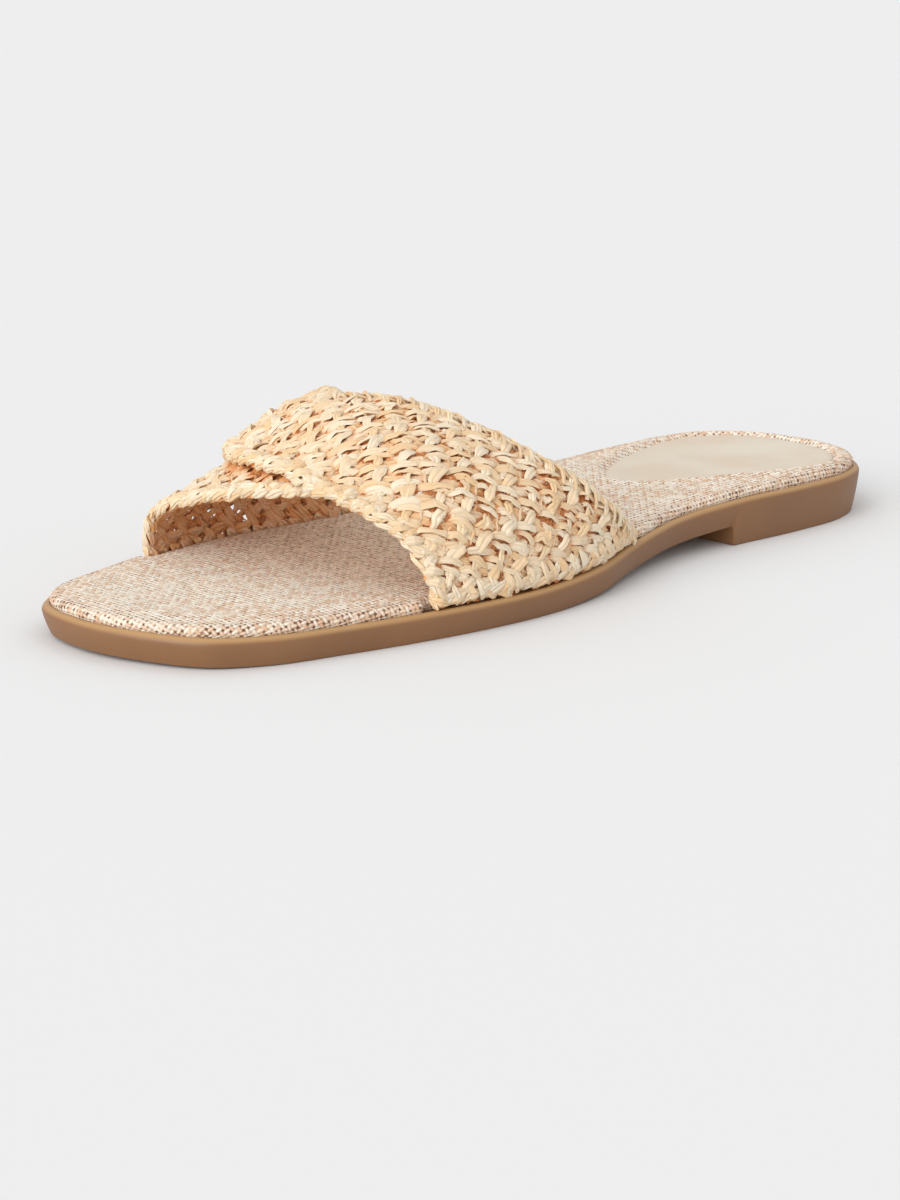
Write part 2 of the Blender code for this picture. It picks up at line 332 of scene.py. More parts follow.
print("pieces are smooth up to an angle of", round(float(np.degrees(SHARP_ANGLE))), "degrees")

# %% [markdown]
# ## Helpers for finishes
# A finish here is a small tree of shader nodes. Writing each node and link by hand hides what the tree
# does, so a few helpers make a node and wire its inputs in one line. An input takes either a plain value
# or a socket.

# %% Write the helpers for shader nodes
def feed(tree, socket, value):
    if isinstance(value, bpy.types.NodeSocket):
        tree.links.new(value, socket)
    else:
        socket.default_value = value


def add_node(tree, kind, settings=None, **inputs):
    node = tree.nodes.new("ShaderNode" + kind)
    for name, value in (settings or {}).items():
        setattr(node, name, value)
    for name, value in inputs.items():
        feed(tree, node.inputs[name.replace("_", " ")], value)
    return node


def calculate(tree, operation, first, second=0.0, kind="Math"):
    node = add_node(tree, kind, {"operation": operation})
    feed(tree, node.inputs[0], first)
    feed(tree, node.inputs[1], second)
    return node.outputs[0]


def plus(tree, first, second):
    return calculate(tree, "ADD", first, second)


def minus(tree, first, second):
    return calculate(tree, "SUBTRACT", first, second)


def times(tree, first, second):
    return calculate(tree, "MULTIPLY", first, second)


def vector_calculate(tree, operation, first, second=(0.0, 0.0, 0.0)):
    return calculate(tree, operation, first, second, kind="VectorMath")


print("one line of code now makes one shader node")

# %% Write the helpers for patterns
MIX_SHARE = 0
MIX_FIRST = 6
MIX_SECOND = 7
MIX_COLOUR = 2


def mix_colours(tree, share, first, second):
    node = add_node(tree, "Mix", {"data_type": "RGBA"})
    feed(tree, node.inputs[MIX_SHARE], share)
    feed(tree, node.inputs[MIX_FIRST], first)
    feed(tree, node.inputs[MIX_SECOND], second)
    return node.outputs[MIX_COLOUR]


def remap(tree, value, low, high, to_low=0.0, to_high=1.0):
    node = add_node(tree, "MapRange", {"interpolation_type": "SMOOTHSTEP"}, Value=value)
    node.inputs["From Min"].default_value = low
    node.inputs["From Max"].default_value = high
    node.inputs["To Min"].default_value = to_low
    node.inputs["To Max"].default_value = to_high
    return node.outputs[0]


def flat_noise(tree, place, scale, detail):
    """Soft noise over a map with two directions."""
    settings = {"noise_dimensions": "2D"}
    node = add_node(tree, "TexNoise", settings, Vector=place, Scale=scale, Detail=detail)
    return node.outputs["Fac"]


def speckle(tree, place, dimensions):
    """Another random value for every place, with nothing soft between them."""
    settings = {"noise_dimensions": dimensions}
    return add_node(tree, "TexWhiteNoise", settings, Vector=place).outputs["Value"]


def stored_value(tree, name):
    """A value that was written on the points of the mesh."""
    return add_node(tree, "Attribute", {"attribute_name": name}).outputs["Fac"]


def add_bump(tree, shader, height, strength, distance):
    bump = add_node(tree, "Bump", Height=height, Strength=strength, Distance=distance)
    feed(tree, shader.inputs["Normal"], bump.outputs["Normal"])


print("a mix takes its colours from sockets", MIX_FIRST, "and", MIX_SECOND)

# %% Write the helpers for finishes and groups
def srgb(red, green, blue):
    """A colour as it is read off a screen, 0 to 255, turned into the linear one that shaders take."""
    share = np.array([red, green, blue]) / 255.0
    linear = np.where(share <= 0.04045, share / 12.92, ((share + 0.055) / 1.055) ** 2.4)
    return (*linear.tolist(), 1.0)


def new_finish(name):
    finish = bpy.data.materials.new(name)
    finish.use_nodes = True
    return finish, finish.node_tree, finish.node_tree.nodes["Principled BSDF"]


def new_group(name, inputs, outputs):
    """An empty node group: inputs as name to (kind, default), outputs as name to kind."""
    group = bpy.data.node_groups.new(name, "ShaderNodeTree")
    for socket_name, (kind, default) in inputs.items():
        socket = group.interface.new_socket(socket_name, in_out="INPUT", socket_type="NodeSocket" + kind)
        if default is not None:
            socket.default_value = default
    for socket_name, kind in outputs.items():
        group.interface.new_socket(socket_name, in_out="OUTPUT", socket_type="NodeSocket" + kind)
    return group, group.nodes.new("NodeGroupInput").outputs, group.nodes.new("NodeGroupOutput").inputs


def place_group(tree, group, **inputs):
    return add_node(tree, "Group", {"node_tree": group}, **inputs).outputs


print("middle grey of a screen is", round(srgb(128, 128, 128)[0], 3), "in a shader")

# %% [markdown]
# ## A grain for moulded and pressed skins
# The rubber of the sole and the smooth heel pad both have a fine pebbled skin and a colour that drifts
# slowly from place to place. That is one effect at two scales, so it is a node group, with the scale as
# an input.

# %% Build the grain group
NOISE_SPAN = (0.3, 0.7)


def make_skin_grain():
    inputs = {"Vector": ("Vector", None), "Grain": ("Float", 900.0), "Drift": ("Float", 30.0)}
    group, given, out = new_group("skin_grain", inputs, {"Height": "Float", "Drift": "Float"})
    place = given["Vector"]
    pebbles = add_node(group, "TexVoronoi", {"feature": "SMOOTH_F1"}, Vector=place, Scale=given["Grain"])
    fine = add_node(group, "TexNoise", Vector=place, Scale=given["Grain"], Detail=4.0, Roughness=0.65)
    slow = add_node(group, "TexNoise", Vector=place, Scale=given["Drift"], Detail=3.0, Roughness=0.5)
    feed(group, out["Height"], plus(group, pebbles.outputs["Distance"], fine.outputs["Fac"]))
    feed(group, out["Drift"], remap(group, slow.outputs["Fac"], *NOISE_SPAN))
    return group


SKIN_GRAIN = make_skin_grain()
print("grain group sockets", [item.name for item in SKIN_GRAIN.interface.items_tree])

# %% [markdown]
# ## The outsole
# The real sole is one moulding of brown rubber. Its wall leans in towards the floor, so that it leaves
# the mould, and its top turns over in a soft round into a narrow rim around the footbed. The solid in the
# frame has the same outline with few points. A finer skin replaces it: the outline is repeated as a stack
# of rings, each with its own inset and height, and neighbouring rings are joined. A loft suits a wall
# that changes little.

# %% Place the points of a ring
SOLE_STATIONS = 230
BREAST_CLEAR = 1.6
ROUND_STEPS = 5


def swung_stations(count):
    """Stations along the sole, closer together at both of its round ends."""
    swing = np.linspace(0.0, np.pi, count + 1)
    return SOLE_LENGTH * (1.0 - np.cos(swing)) / 2.0


def sole_stations():
    """Stations along the sole, with close ones round the edges of the heel's front face."""
    stations = swung_stations(SOLE_STATIONS)
    stations = stations[np.abs(stations - HEEL_BREAST) > BREAST_CLEAR]
    turn = BREAST_ROUND * np.sin(np.linspace(0.0, np.pi / 2, ROUND_STEPS))
    before = HEEL_BREAST - BREAST_ROUND + turn
    after = HEEL_BREAST + BREAST_LEAN + BREAST_ROUND - turn
    return np.sort(np.concatenate([stations, before, after]))


def outline_ring(stations):
    """One closed loop: up the outer side from heel to toe, then back down the inner side."""
    outer = np.column_stack([stations, np.interp(stations, OUTER_SIDE[:, 0], OUTER_SIDE[:, 1])])
    inner = np.column_stack([stations, np.interp(stations, INNER_SIDE[:, 0], INNER_SIDE[:, 1])])
    return np.vstack([outer, inner[-2:0:-1]])


def inward(ring):
    """Unit directions pointing into the outline at each of its points."""
    along = np.roll(ring, -1, axis=0) - np.roll(ring, 1, axis=0)
    along /= np.linalg.norm(along, axis=1)[:, None]
    return np.column_stack([along[:, 1], -along[:, 0]])


def ring_at(ring, direction, inset, height):
    inset = np.broadcast_to(inset, len(ring))
    return np.column_stack([ring + direction * inset[:, None], np.broadcast_to(height, len(ring))])


print("a ring of the sole has", len(outline_ring(sole_stations())), "points")

# %% Join rings with faces
def strip_faces(low, high, count):
    """Four-sided faces between two rings, each given by its first point's number."""
    faces = []
    for this in range(count):
        after = (this + 1) % count
        faces.append((low + this, low + after, high + after, high + this))
    return faces


def wall_faces(levels, count):
    """Faces between the neighbours in a stack of rings."""
    faces = []
    for level in range(levels - 1):
        faces += strip_faces(level * count, (level + 1) * count, count)
    return faces


def cross_faces(base, count):
    """Faces straight across a ring, from its outer to its inner half."""
    half = count // 2
    faces = [(base, base + 1, base + count - 1)]
    for this in range(1, half - 1):
        faces.append((base + this, base + this + 1, base + count - this - 1, base + count - this))
    faces.append((base + half - 1, base + half, base + half + 1))
    return faces


print("a ring of six points is closed by", len(cross_faces(0, 6)), "faces")

# %% Stack the rings of the outsole
WALL_DRAFT = 1.6
WALL_BELLY = 0.18
WALL_STEPS = 6
BOTTOM_EDGE = 0.45
RIM_ROUND = 1.5
RIM_WIDTH = 1.8
GROOVE_DEPTH = 0.6
GROOVE_WIDTH = 1.6
GROOVE_CLEAR = 0.08


def outsole_rings():
    ring = outline_ring(sole_stations())
    direction = inward(ring)
    bottom = bottom_height(ring[:, 0])
    rim = rim_height(ring[:, 0])
    rings = []
    for turn in np.linspace(0.0, np.pi / 2, ROUND_STEPS):
        inset = WALL_DRAFT + BOTTOM_EDGE * (1 - np.sin(turn))
        rings.append(ring_at(ring, direction, inset, bottom + BOTTOM_EDGE * (1 - np.cos(turn))))
    low = bottom + BOTTOM_EDGE
    high = rim - RIM_ROUND
    for part in np.linspace(0.0, 1.0, WALL_STEPS)[1:-1]:
        inset = WALL_DRAFT * (1 - part) - WALL_BELLY * np.sin(np.pi * part)
        rings.append(ring_at(ring, direction, inset, low + (high - low) * part))
    for turn in np.linspace(0.0, np.pi / 2, ROUND_STEPS + 1):
        inset = RIM_ROUND * (1 - np.cos(turn))
        rings.append(ring_at(ring, direction, inset, high + RIM_ROUND * np.sin(turn)))
    rings.append(ring_at(ring, direction, RIM_WIDTH - GROOVE_CLEAR, rim))
    rings.append(ring_at(ring, direction, RIM_WIDTH, rim - GROOVE_DEPTH))
    rings.append(ring_at(ring, direction, RIM_WIDTH + GROOVE_WIDTH, rim - GROOVE_DEPTH))
    return rings


sole_rings = outsole_rings()
ring_count = len(sole_rings[0])
sole_faces = wall_faces(len(sole_rings), ring_count)
sole_faces += cross_faces(0, ring_count)
sole_faces += cross_faces((len(sole_rings) - 1) * ring_count, ring_count)
outsole = make_piece("moulded_outsole", np.vstack(sole_rings), sole_faces)
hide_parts("outsole")

# %% [markdown]
# ## Rubber
# The rubber is a satin tan brown. Base colour alone would look like paint, so the colour drifts and a
# fine bump breaks up the shine. The rim gets a painted highlight where light catches its round: surfaces
# that face up, found from the way the surface faces, are painted lighter.

# %% Finish the outsole
RUBBER_SIDE = srgb(135, 95, 60)
RUBBER_DEEP = srgb(127, 88, 54)
RUBBER_PAINTED_HIGHLIGHT = srgb(180, 140, 93)
RUBBER_GRAIN = 1500.0
RUBBER_DRIFT = 34.0
RUBBER_ROUGHNESS = (0.42, 0.54)
RUBBER_BUMP = (0.25, 0.12 * MM)
HIGHLIGHT_FACING = (0.15, 0.95)


def make_rubber():
    finish, tree, shader = new_finish("moulded_rubber")
    place = add_node(tree, "TexCoord").outputs["Object"]
    grain = place_group(tree, SKIN_GRAIN, Vector=place, Grain=RUBBER_GRAIN, Drift=RUBBER_DRIFT)
    facing = add_node(tree, "NewGeometry").outputs["Normal"]
    facing_up = add_node(tree, "SeparateXYZ", Vector=facing).outputs["Z"]
    colour = mix_colours(tree, grain["Drift"], RUBBER_DEEP, RUBBER_SIDE)
    # painted highlight: surfaces that face up, like the rim, are coloured lighter as if lit
    colour = mix_colours(tree, remap(tree, facing_up, *HIGHLIGHT_FACING), colour, RUBBER_PAINTED_HIGHLIGHT)
    feed(tree, shader.inputs["Base Color"], colour)
    feed(tree, shader.inputs["Roughness"], remap(tree, grain["Drift"], 0.0, 1.0, *RUBBER_ROUGHNESS))
    add_bump(tree, shader, grain["Height"], *RUBBER_BUMP)
    return finish


outsole.data.materials.append(make_rubber())
print("outsole finished with", outsole.data.materials[0].name)

# %% [markdown]
# ## The footbed
# The footbed is a board with thin foam, wrapped in a coarse linen. Seen close, the cloth is not flat:
# every crossing of two threads is a small hill. A bump map would fake that, but hills also roughen the
# cloth's outline, so the top is a mesh whose points lie on the weave itself, two to a thread. The shoe's
# outline cuts across the threads, and a Delaunay triangulation joins the lattice to it without bending
# the cloth.

# %% Place the footbed's edge
HEEL_MIDDLE = 30.0
FOOTBED_THICKNESS = 2.7
FOOTBED_ROUND = 1.7
FOOTBED_UNDER_EDGE = 0.5
TUCK_DEPTH = 0.35
SEAT_GAP = 0.3
BAND_RIM_SETBACK = 1.0
BAND_THICKNESS = 3.0
PRESSED_STEP = 0.8
SIDE_GAP = 0.3
LET_IN_RAMP = 3.0
LET_IN_MARGIN = 1.2

Stand = namedtuple("Stand", "rear front depth")
OUTER_STAND = Stand(112.0, 185.5, BAND_THICKNESS)
INNER_STAND = Stand(138.0, 205.0, BAND_THICKNESS + PRESSED_STEP)


def footbed_inset(ring):
    """Distance of the footbed's edge from the rim: wider where a band stands beside it."""
    inset = np.full(len(ring), RIM_WIDTH)
    for stand, on_side in ((OUTER_STAND, ring[:, 1] > 0), (INNER_STAND, ring[:, 1] <= 0)):
        depth = BAND_RIM_SETBACK + stand.depth + SIDE_GAP - RIM_WIDTH
        rear = stand.rear - LET_IN_MARGIN
        front = stand.front + LET_IN_MARGIN
        rise = smooth_step(ring[:, 0], rear - LET_IN_RAMP, rear)
        fall = smooth_step(ring[:, 0], front, front + LET_IN_RAMP)
        inset += np.where(on_side, depth * (rise - fall), 0.0)
    return inset


def footbed_top(station):
    return rim_height(station) + SEAT_GAP + FOOTBED_THICKNESS


bed_height = round(float(footbed_top(HEEL_MIDDLE)), 1)
print("footbed edge", RIM_WIDTH, "mm inside the rim, top at", bed_height, "mm")

# %% [markdown]
# ## Soft hollows in the footbed
# Pressing shapes the foam: the heel pad lies in a shallow hollow with a soft ridge around it, the ball
# has a faint dish, and the cloth sinks a little towards its turned-down edge. Each is placed in the
# shoe's own millimetres, as a trough or a ridge that fades out.

# %% Draw the heel pad's outline
PAD_SAMPLES = 160

PadWidth = namedtuple("PadWidth", "station half")
PAD_WIDTHS = [
    PadWidth(7.6, 0.0),
    PadWidth(9.6, 11.4),
    PadWidth(14.0, 19.0),
    PadWidth(22.0, 23.8),
    PadWidth(32.0, 24.8),
    PadWidth(44.0, 22.4),
    PadWidth(56.0, 18.4),
    PadWidth(66.0, 14.2),
    PadWidth(74.0, 9.6),
    PadWidth(78.4, 5.0),
    PadWidth(80.0, 0.0),
]


def pad_outline():
    """Closed outline of the heel pad, through its widths on both sides."""
    points = np.array(PAD_WIDTHS)
    # The mirrored neighbour at each end rounds the outline there
    points = np.vstack([points[1] * (1, -1), points, points[-2] * (1, -1)])
    half = curve_between(points, PAD_SAMPLES // 2 + 1)
    return np.vstack([half, half[-2:0:-1] * (1, -1)])


PAD_OUTLINE = pad_outline()

# %% Measure how far a point lies inside an outline
TINY = 1e-9


def distance_inside(points, ring):
    """Distance of each point from a closed outline, counted positive inside it."""
    after = np.roll(ring, -1, axis=0)
    nearest = np.full(len(points), np.inf)
    crossings = np.zeros(len(points), int)
    for start, end in zip(ring, after):
        step = end - start
        part = np.clip(((points - start) @ step) / max(step @ step, TINY), 0.0, 1.0)
        gap = points - (start + part[:, None] * step)
        nearest = np.minimum(nearest, np.hypot(gap[:, 0], gap[:, 1]))
        spans = (start[1] > points[:, 1]) != (end[1] > points[:, 1])
        if start[1] != end[1]:
            meets = start[0] + (points[:, 1] - start[1]) / (end[1] - start[1]) * step[0]
            crossings += spans & (points[:, 0] < meets)
    return np.where(crossings % 2 == 1, nearest, -nearest)


pad_middle = PAD_OUTLINE.mean(axis=0)[None]
print("the pad's middle is", distance_inside(pad_middle, PAD_OUTLINE).round(1), "mm inside its edge")

# %% Shape the hollows
PAD_DEPTH = 1.4
PAD_RIDGE = 0.35
PAD_SLOPE = 2.4
PAD_SETTLE = 0.4
RIDGE_REACH = 6.0
EDGE_FALL = 0.55
EDGE_REACH = 9.0
HOLLOW_FADE = 2.0

Hollow = namedtuple("Hollow", "station side length width depth")
HOLLOWS = [
    Hollow(176.0, 2.0, 46.0, 34.0, 0.55),
    Hollow(226.0, 4.0, 16.0, 22.0, 0.35),
    Hollow(112.0, -6.0, 30.0, 20.0, -0.35),
]


def cloth_height(points, from_edge):
    """Height of the cloth at points on the footbed, with its hollows and ridges."""
    away_from_edge = smooth_step(from_edge, 0.0, EDGE_REACH)
    height = footbed_top(points[:, 0])
    height = height - EDGE_FALL * (1 - away_from_edge) ** 2
    inside = distance_inside(points, PAD_OUTLINE)
    height = height - PAD_DEPTH * smooth_step(inside, -PAD_SLOPE, PAD_SETTLE)
    ridge = smooth_step(inside, -RIDGE_REACH, -PAD_SLOPE) * (1 - smooth_step(inside, -PAD_SLOPE, 0.0))
    height = height + PAD_RIDGE * ridge
    for hollow in HOLLOWS:
        reach = ((points[:, 0] - hollow.station) / hollow.length) ** 2
        reach = reach + ((points[:, 1] - hollow.side) / hollow.width) ** 2
        height = height - hollow.depth * np.exp(-HOLLOW_FADE * reach) * away_from_edge
    return height


print("the cloth has", len(HOLLOWS), "soft hollows, and one", PAD_DEPTH, "mm deep for the heel pad")

# %% [markdown]
# ## Weaving the top
# Now the lattice: points half a thread apart, kept where they fall inside the outline. A thread crossing
# lifts its point, the gap between four crossings sinks, and every crossing differs a little, as hand-spun
# yarn does. The turned-down edge is a stack of rings again, joined to the last ring of the top.

# %% Place the threads
THREAD = 1.25
LATTICE_CLEAR = 0.4


def lattice_points(ring):
    """Points half a thread apart inside the ring, and whether each is a crossing, a gap or between."""
    low = ring.min(axis=0)
    high = ring.max(axis=0)
    half = THREAD / 2
    columns = np.arange(np.floor(low[0] / half), np.ceil(high[0] / half) + 1).astype(int)
    rows = np.arange(np.floor(low[1] / half), np.ceil(high[1] / half) + 1).astype(int)
    across, down = (grid.ravel() for grid in np.meshgrid(columns, rows, indexing="ij"))
    points = np.column_stack([across, down]) * half
    from_edge = distance_inside(points, ring)
    keep = from_edge > LATTICE_CLEAR
    kind = (across % 2 == 0).astype(float) + (down % 2 == 0).astype(float) - 1.0
    return points[keep], from_edge[keep], kind[keep]


print("linen has", round(10 / THREAD), "threads to the centimetre")

# %% Weave the top
FOOTBED_SEED = 11
RING_STATIONS = 320
THREAD_RELIEF = 0.13
THREAD_UNEVEN = 0.45
EDGE_PUCKER = 0.18
INSIDE_ONLY = 1
MERGE_DISTANCE = 1e-6

footbed_draws = np.random.default_rng(FOOTBED_SEED)
bed_ring = outline_ring(swung_stations(RING_STATIONS))
bed_count = len(bed_ring)
bed_inward = inward(bed_ring)
bed_inset = footbed_inset(bed_ring)
pucker = EDGE_PUCKER * footbed_draws.uniform(-1, 1, bed_count)
top_ring = ring_at(bed_ring, bed_inward, bed_inset + FOOTBED_ROUND, 0.0)[:, :2]
top_edge = cloth_height(top_ring, np.zeros(bed_count))


def weave_top(draws):
    """Points of the top, its edge first, with its faces and the lattice's distance from the edge."""
    lattice, from_edge, kind = lattice_points(top_ring)
    height = cloth_height(lattice, from_edge)
    height += kind * THREAD_RELIEF * (1 + THREAD_UNEVEN * draws.uniform(-1, 1, len(kind)))
    flat = [Vector(point) for point in np.vstack([top_ring, lattice])]
    border = [(this, (this + 1) % bed_count) for this in range(bed_count)]
    found = delaunay_2d_cdt(flat, border, [], INSIDE_ONLY, MERGE_DISTANCE)
    points = np.column_stack([np.array(found[0])[:, :2], np.concatenate([top_edge, height])])
    return points, [tuple(face) for face in found[2]], from_edge


top_points, top_faces, from_edge = weave_top(footbed_draws)
print("the woven top has", len(top_points), "points")

# %% Turn the edge down
EDGE_STEPS = 7
TUCK_REACH = (0.9, 1.8, 2.2)


def edge_down():
    """Rings from the top's edge down into the seam, and each one's distance along the cloth."""
    rings = []
    reach = []
    for turn in np.linspace(np.pi / 2, 0.0, EDGE_STEPS)[1:]:
        inset = bed_inset + FOOTBED_ROUND * (1 - np.cos(turn)) + pucker * np.cos(turn)
        rings.append(ring_at(bed_ring, bed_inward, inset, top_edge - FOOTBED_ROUND * (1 - np.sin(turn))))
        reach.append(FOOTBED_ROUND * (np.pi / 2 - turn))
    tuck = rim_height(bed_ring[:, 0]) - TUCK_DEPTH
    halfway = (rings[-1][:, 2] + tuck) / 2
    rings.append(ring_at(bed_ring, bed_inward, bed_inset + pucker / 2 + EDGE_PUCKER / 2, halfway))
    rings.append(ring_at(bed_ring, bed_inward, bed_inset + EDGE_PUCKER, tuck))
    rings.append(ring_at(bed_ring, bed_inward, bed_inset + FOOTBED_UNDER_EDGE, tuck))
    reach += [reach[-1] + more for more in TUCK_REACH]
    return np.array(rings), np.array(reach)


edge_rings, edge_reach = edge_down()
print("the cloth runs", round(float(edge_reach[-1]), 1), "mm down over the edge")

# %% Join the footbed
def footbed_faces():
    faces = list(top_faces)
    upper = 0
    for level in range(len(edge_rings)):
        lower = len(top_points) + level * bed_count
        faces += strip_faces(upper, lower, bed_count)
        upper = lower
    return faces + cross_faces(upper, bed_count)


footbed_points = np.vstack([top_points, edge_rings.reshape(-1, 3)])
footbed = make_piece("linen_footbed", footbed_points, footbed_faces(), weld=False)
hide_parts("footbed")

# %% [markdown]
# ## Laying the cloth's threads on the mesh
# The finish has to know where each thread runs. A UV map counted in threads does that: on the top it is
# simply the place divided by the thread's width, and over the edge it keeps going outwards, as the real
# cloth wraps round. A second value marks how far a point is down the edge, where stretched cloth shows
# darker flecks, and a third one marks the shade under the bands, where the finish paints in a warm light,
# as if come through the raffia, and a painted shade that opens the dark gaps wider.

# %% Map the threads
UV_SHIFT = 80.0
TURN_SHARE = 0.4
TURN_REACH = 3.5

thread_map = np.vstack([top_points[:, :2]] + [top_ring - bed_inward * reach for reach in edge_reach])
thread_map = thread_map / THREAD + UV_SHIFT
turned = [np.full(bed_count, TURN_SHARE), TURN_SHARE * (1 - smooth_step(from_edge, 0.0, TURN_REACH))]
down_shares = TURN_SHARE + (1 - TURN_SHARE) * edge_reach / edge_reach[-1]
turned += [np.full(bed_count, share) for share in down_shares]
turned = np.concatenate(turned)
print("thread map from", thread_map.min(axis=0).round(1), "to", thread_map.max(axis=0).round(1))

# %% Write the maps on the footbed
# how far along and across the foot the painted warm light and painted shade under the bands reach
PAINTED_SHADE_REAR = (118.0, 145.0)
PAINTED_SHADE_FRONT = (174.0, 202.0)
PAINTED_SHADE_SIDE = (26.0, 46.0)


def write_uv(mesh, name, places):
    layer = mesh.uv_layers.new(name=name)
    corner = np.zeros(len(mesh.loops), np.int32)
    mesh.loops.foreach_get("vertex_index", corner)
    layer.data.foreach_set("uv", places[corner].astype(np.float32).ravel())


def write_value(mesh, name, values):
    layer = mesh.attributes.new(name, "FLOAT", "POINT")
    layer.data.foreach_set("value", np.asarray(values, np.float32).ravel())


def painted_shade_under_bands(points):
    """Where the footbed gets the painted warm light and the painted shade under the bands, from 0 to 1.
    """
    covered = smooth_step(points[:, 0], *PAINTED_SHADE_REAR) * (1 - smooth_step(points[:, 0], *PAINTED_SHADE_FRONT))
    return covered * (1 - smooth_step(np.abs(points[:, 1]), *PAINTED_SHADE_SIDE))


band_shade_mask = painted_shade_under_bands(footbed_points)
write_uv(footbed.data, "threads", thread_map)
write_value(footbed.data, "turned_down", turned)
write_value(footbed.data, "painted_shade_under_bands", band_shade_mask)
print(int((band_shade_mask > 0.5).sum()), "points of the footbed lie well under the bands")

# %% [markdown]
# ## Linen
# Plain weave: at each crossing either the thread along the foot or the one across it is on top. The
# finish works out which, rounds the thread that shows, and colours it by its own slub, long flecks of tan
# in an off-white yarn. Noise stretched along the thread gives flecks that end with the thread, which
# plain noise never does.

# %% Follow the threads
YARN_STRETCH = 0.30
ROW_SALT = 7.31
FILE_SALT = 5.77

Weave = namedtuple("Weave", "on_top height yarn one_float")


def nearest_float(tree, run, thread):
    """Middle of the nearest float on a thread: every second crossing, the next thread's moved by one."""
    pairs = calculate(tree, "ROUND", times(tree, minus(tree, run, thread), 0.5))
    return plus(tree, times(tree, pairs, 2.0), thread)


def float_height(tree, run, middle, across, thread):
    """Height of a thread where it floats over its neighbour: arched along, round across."""
    arch = calculate(tree, "COSINE", times(tree, minus(tree, run, middle), np.pi / 2))
    side = calculate(tree, "COSINE", times(tree, minus(tree, across, thread), np.pi))
    return plus(tree, arch, side)


def three_values(tree, x, y, z=0.0):
    return add_node(tree, "CombineXYZ", X=x, Y=y, Z=z).outputs[0]


def plain_weave(tree, threads):
    """Whether the long thread is on top, the height, the upper yarn's own map and its float's place."""
    place = add_node(tree, "SeparateXYZ", Vector=threads).outputs
    row = calculate(tree, "ROUND", place["Y"])
    file = calculate(tree, "ROUND", place["X"])
    long_middle = nearest_float(tree, place["X"], row)
    cross_middle = nearest_float(tree, place["Y"], plus(tree, file, 1.0))
    long_height = float_height(tree, place["X"], long_middle, place["Y"], row)
    cross_height = float_height(tree, place["Y"], cross_middle, place["X"], file)
    on_top = calculate(tree, "GREATER_THAN", long_height, cross_height)
    long_yarn = three_values(tree, times(tree, place["X"], YARN_STRETCH), times(tree, row, ROW_SALT))
    cross_yarn = three_values(tree, times(tree, file, FILE_SALT), times(tree, place["Y"], YARN_STRETCH))
    long_float = three_values(tree, long_middle, row)
    cross_float = three_values(tree, file, cross_middle, 1.0)
    height = calculate(tree, "MAXIMUM", long_height, cross_height)
    yarn = mix_colours(tree, on_top, cross_yarn, long_yarn)
    return Weave(on_top, height, yarn, mix_colours(tree, on_top, cross_float, long_float))


print("a weave is read as", ", ".join(Weave._fields))

# %% Colour the yarn
LINEN_PALE = srgb(251, 243, 227)
LINEN_WARM = srgb(244, 224, 202)
LINEN_PAINTED_WARM_LIGHT = srgb(255, 228, 194)
LINEN_TAN = srgb(226, 184, 150)
LINEN_CROSS = srgb(216, 176, 142)
DRIFT_SCALE = 0.03
DRIFT_TINT = 0.8
SLUB_TINT = 0.5
SPECK_TINT = 0.55
WARM_SPAN = (0.70, 1.25)
TAN_SPAN = (1.04, 1.42)
PAINTED_WARM_LIGHT_SHARE = 0.6
EDGE_TAN = 0.35
CROSS_SHARE = 0.85
LONG_LESS = 0.60
SPECK_SHARES = (0.15, 0.85)


def yarn_colour(tree, weave, threads, under, turned_down):
    """Off-white yarn with tan flecks, by regions, along each yarn and from float to float; painted warm
    light under the bands.
    """
    slub = flat_noise(tree, weave.yarn, 1.0, detail=2.0)
    speck = speckle(tree, weave.one_float, "3D")
    drift = flat_noise(tree, threads, DRIFT_SCALE, detail=4.0)
    tint = plus(tree, times(tree, drift, DRIFT_TINT), times(tree, slub, SLUB_TINT))
    tint = plus(tree, tint, times(tree, speck, SPECK_TINT))
    colour = mix_colours(tree, remap(tree, tint, *WARM_SPAN), LINEN_PALE, LINEN_WARM)
    colour = mix_colours(tree, remap(tree, tint, *TAN_SPAN), colour, LINEN_TAN)
    # painted warm light: under the bands the cloth is tinted warmer, standing for light bounced through
    # the raffia
    colour = mix_colours(tree, times(tree, under, PAINTED_WARM_LIGHT_SHARE), colour, LINEN_PAINTED_WARM_LIGHT)
    colour = mix_colours(tree, times(tree, turned_down, EDGE_TAN), colour, LINEN_TAN)
    cross = minus(tree, CROSS_SHARE, times(tree, weave.on_top, LONG_LESS))
    cross = times(tree, cross, remap(tree, speck, 0.0, 1.0, *SPECK_SHARES))
    return mix_colours(tree, cross, colour, LINEN_CROSS)


print("yarn runs from", [round(x, 2) for x in LINEN_PALE[:3]], "to", [round(x, 2) for x in LINEN_TAN[:3]])

# %% Darken the gaps
CLUMP_SCALE = 0.16
CLUMP_SPAN = (0.36, 0.64)
EDGE_STRAIN = 0.46
PAINTED_SHADE_GAPS = 0.15
GAP_HEIGHTS = (1.64, 1.02)
GAP_SPAN = (0.15, 0.85)
GAP_DARKNESS = (0.2, 1.0)


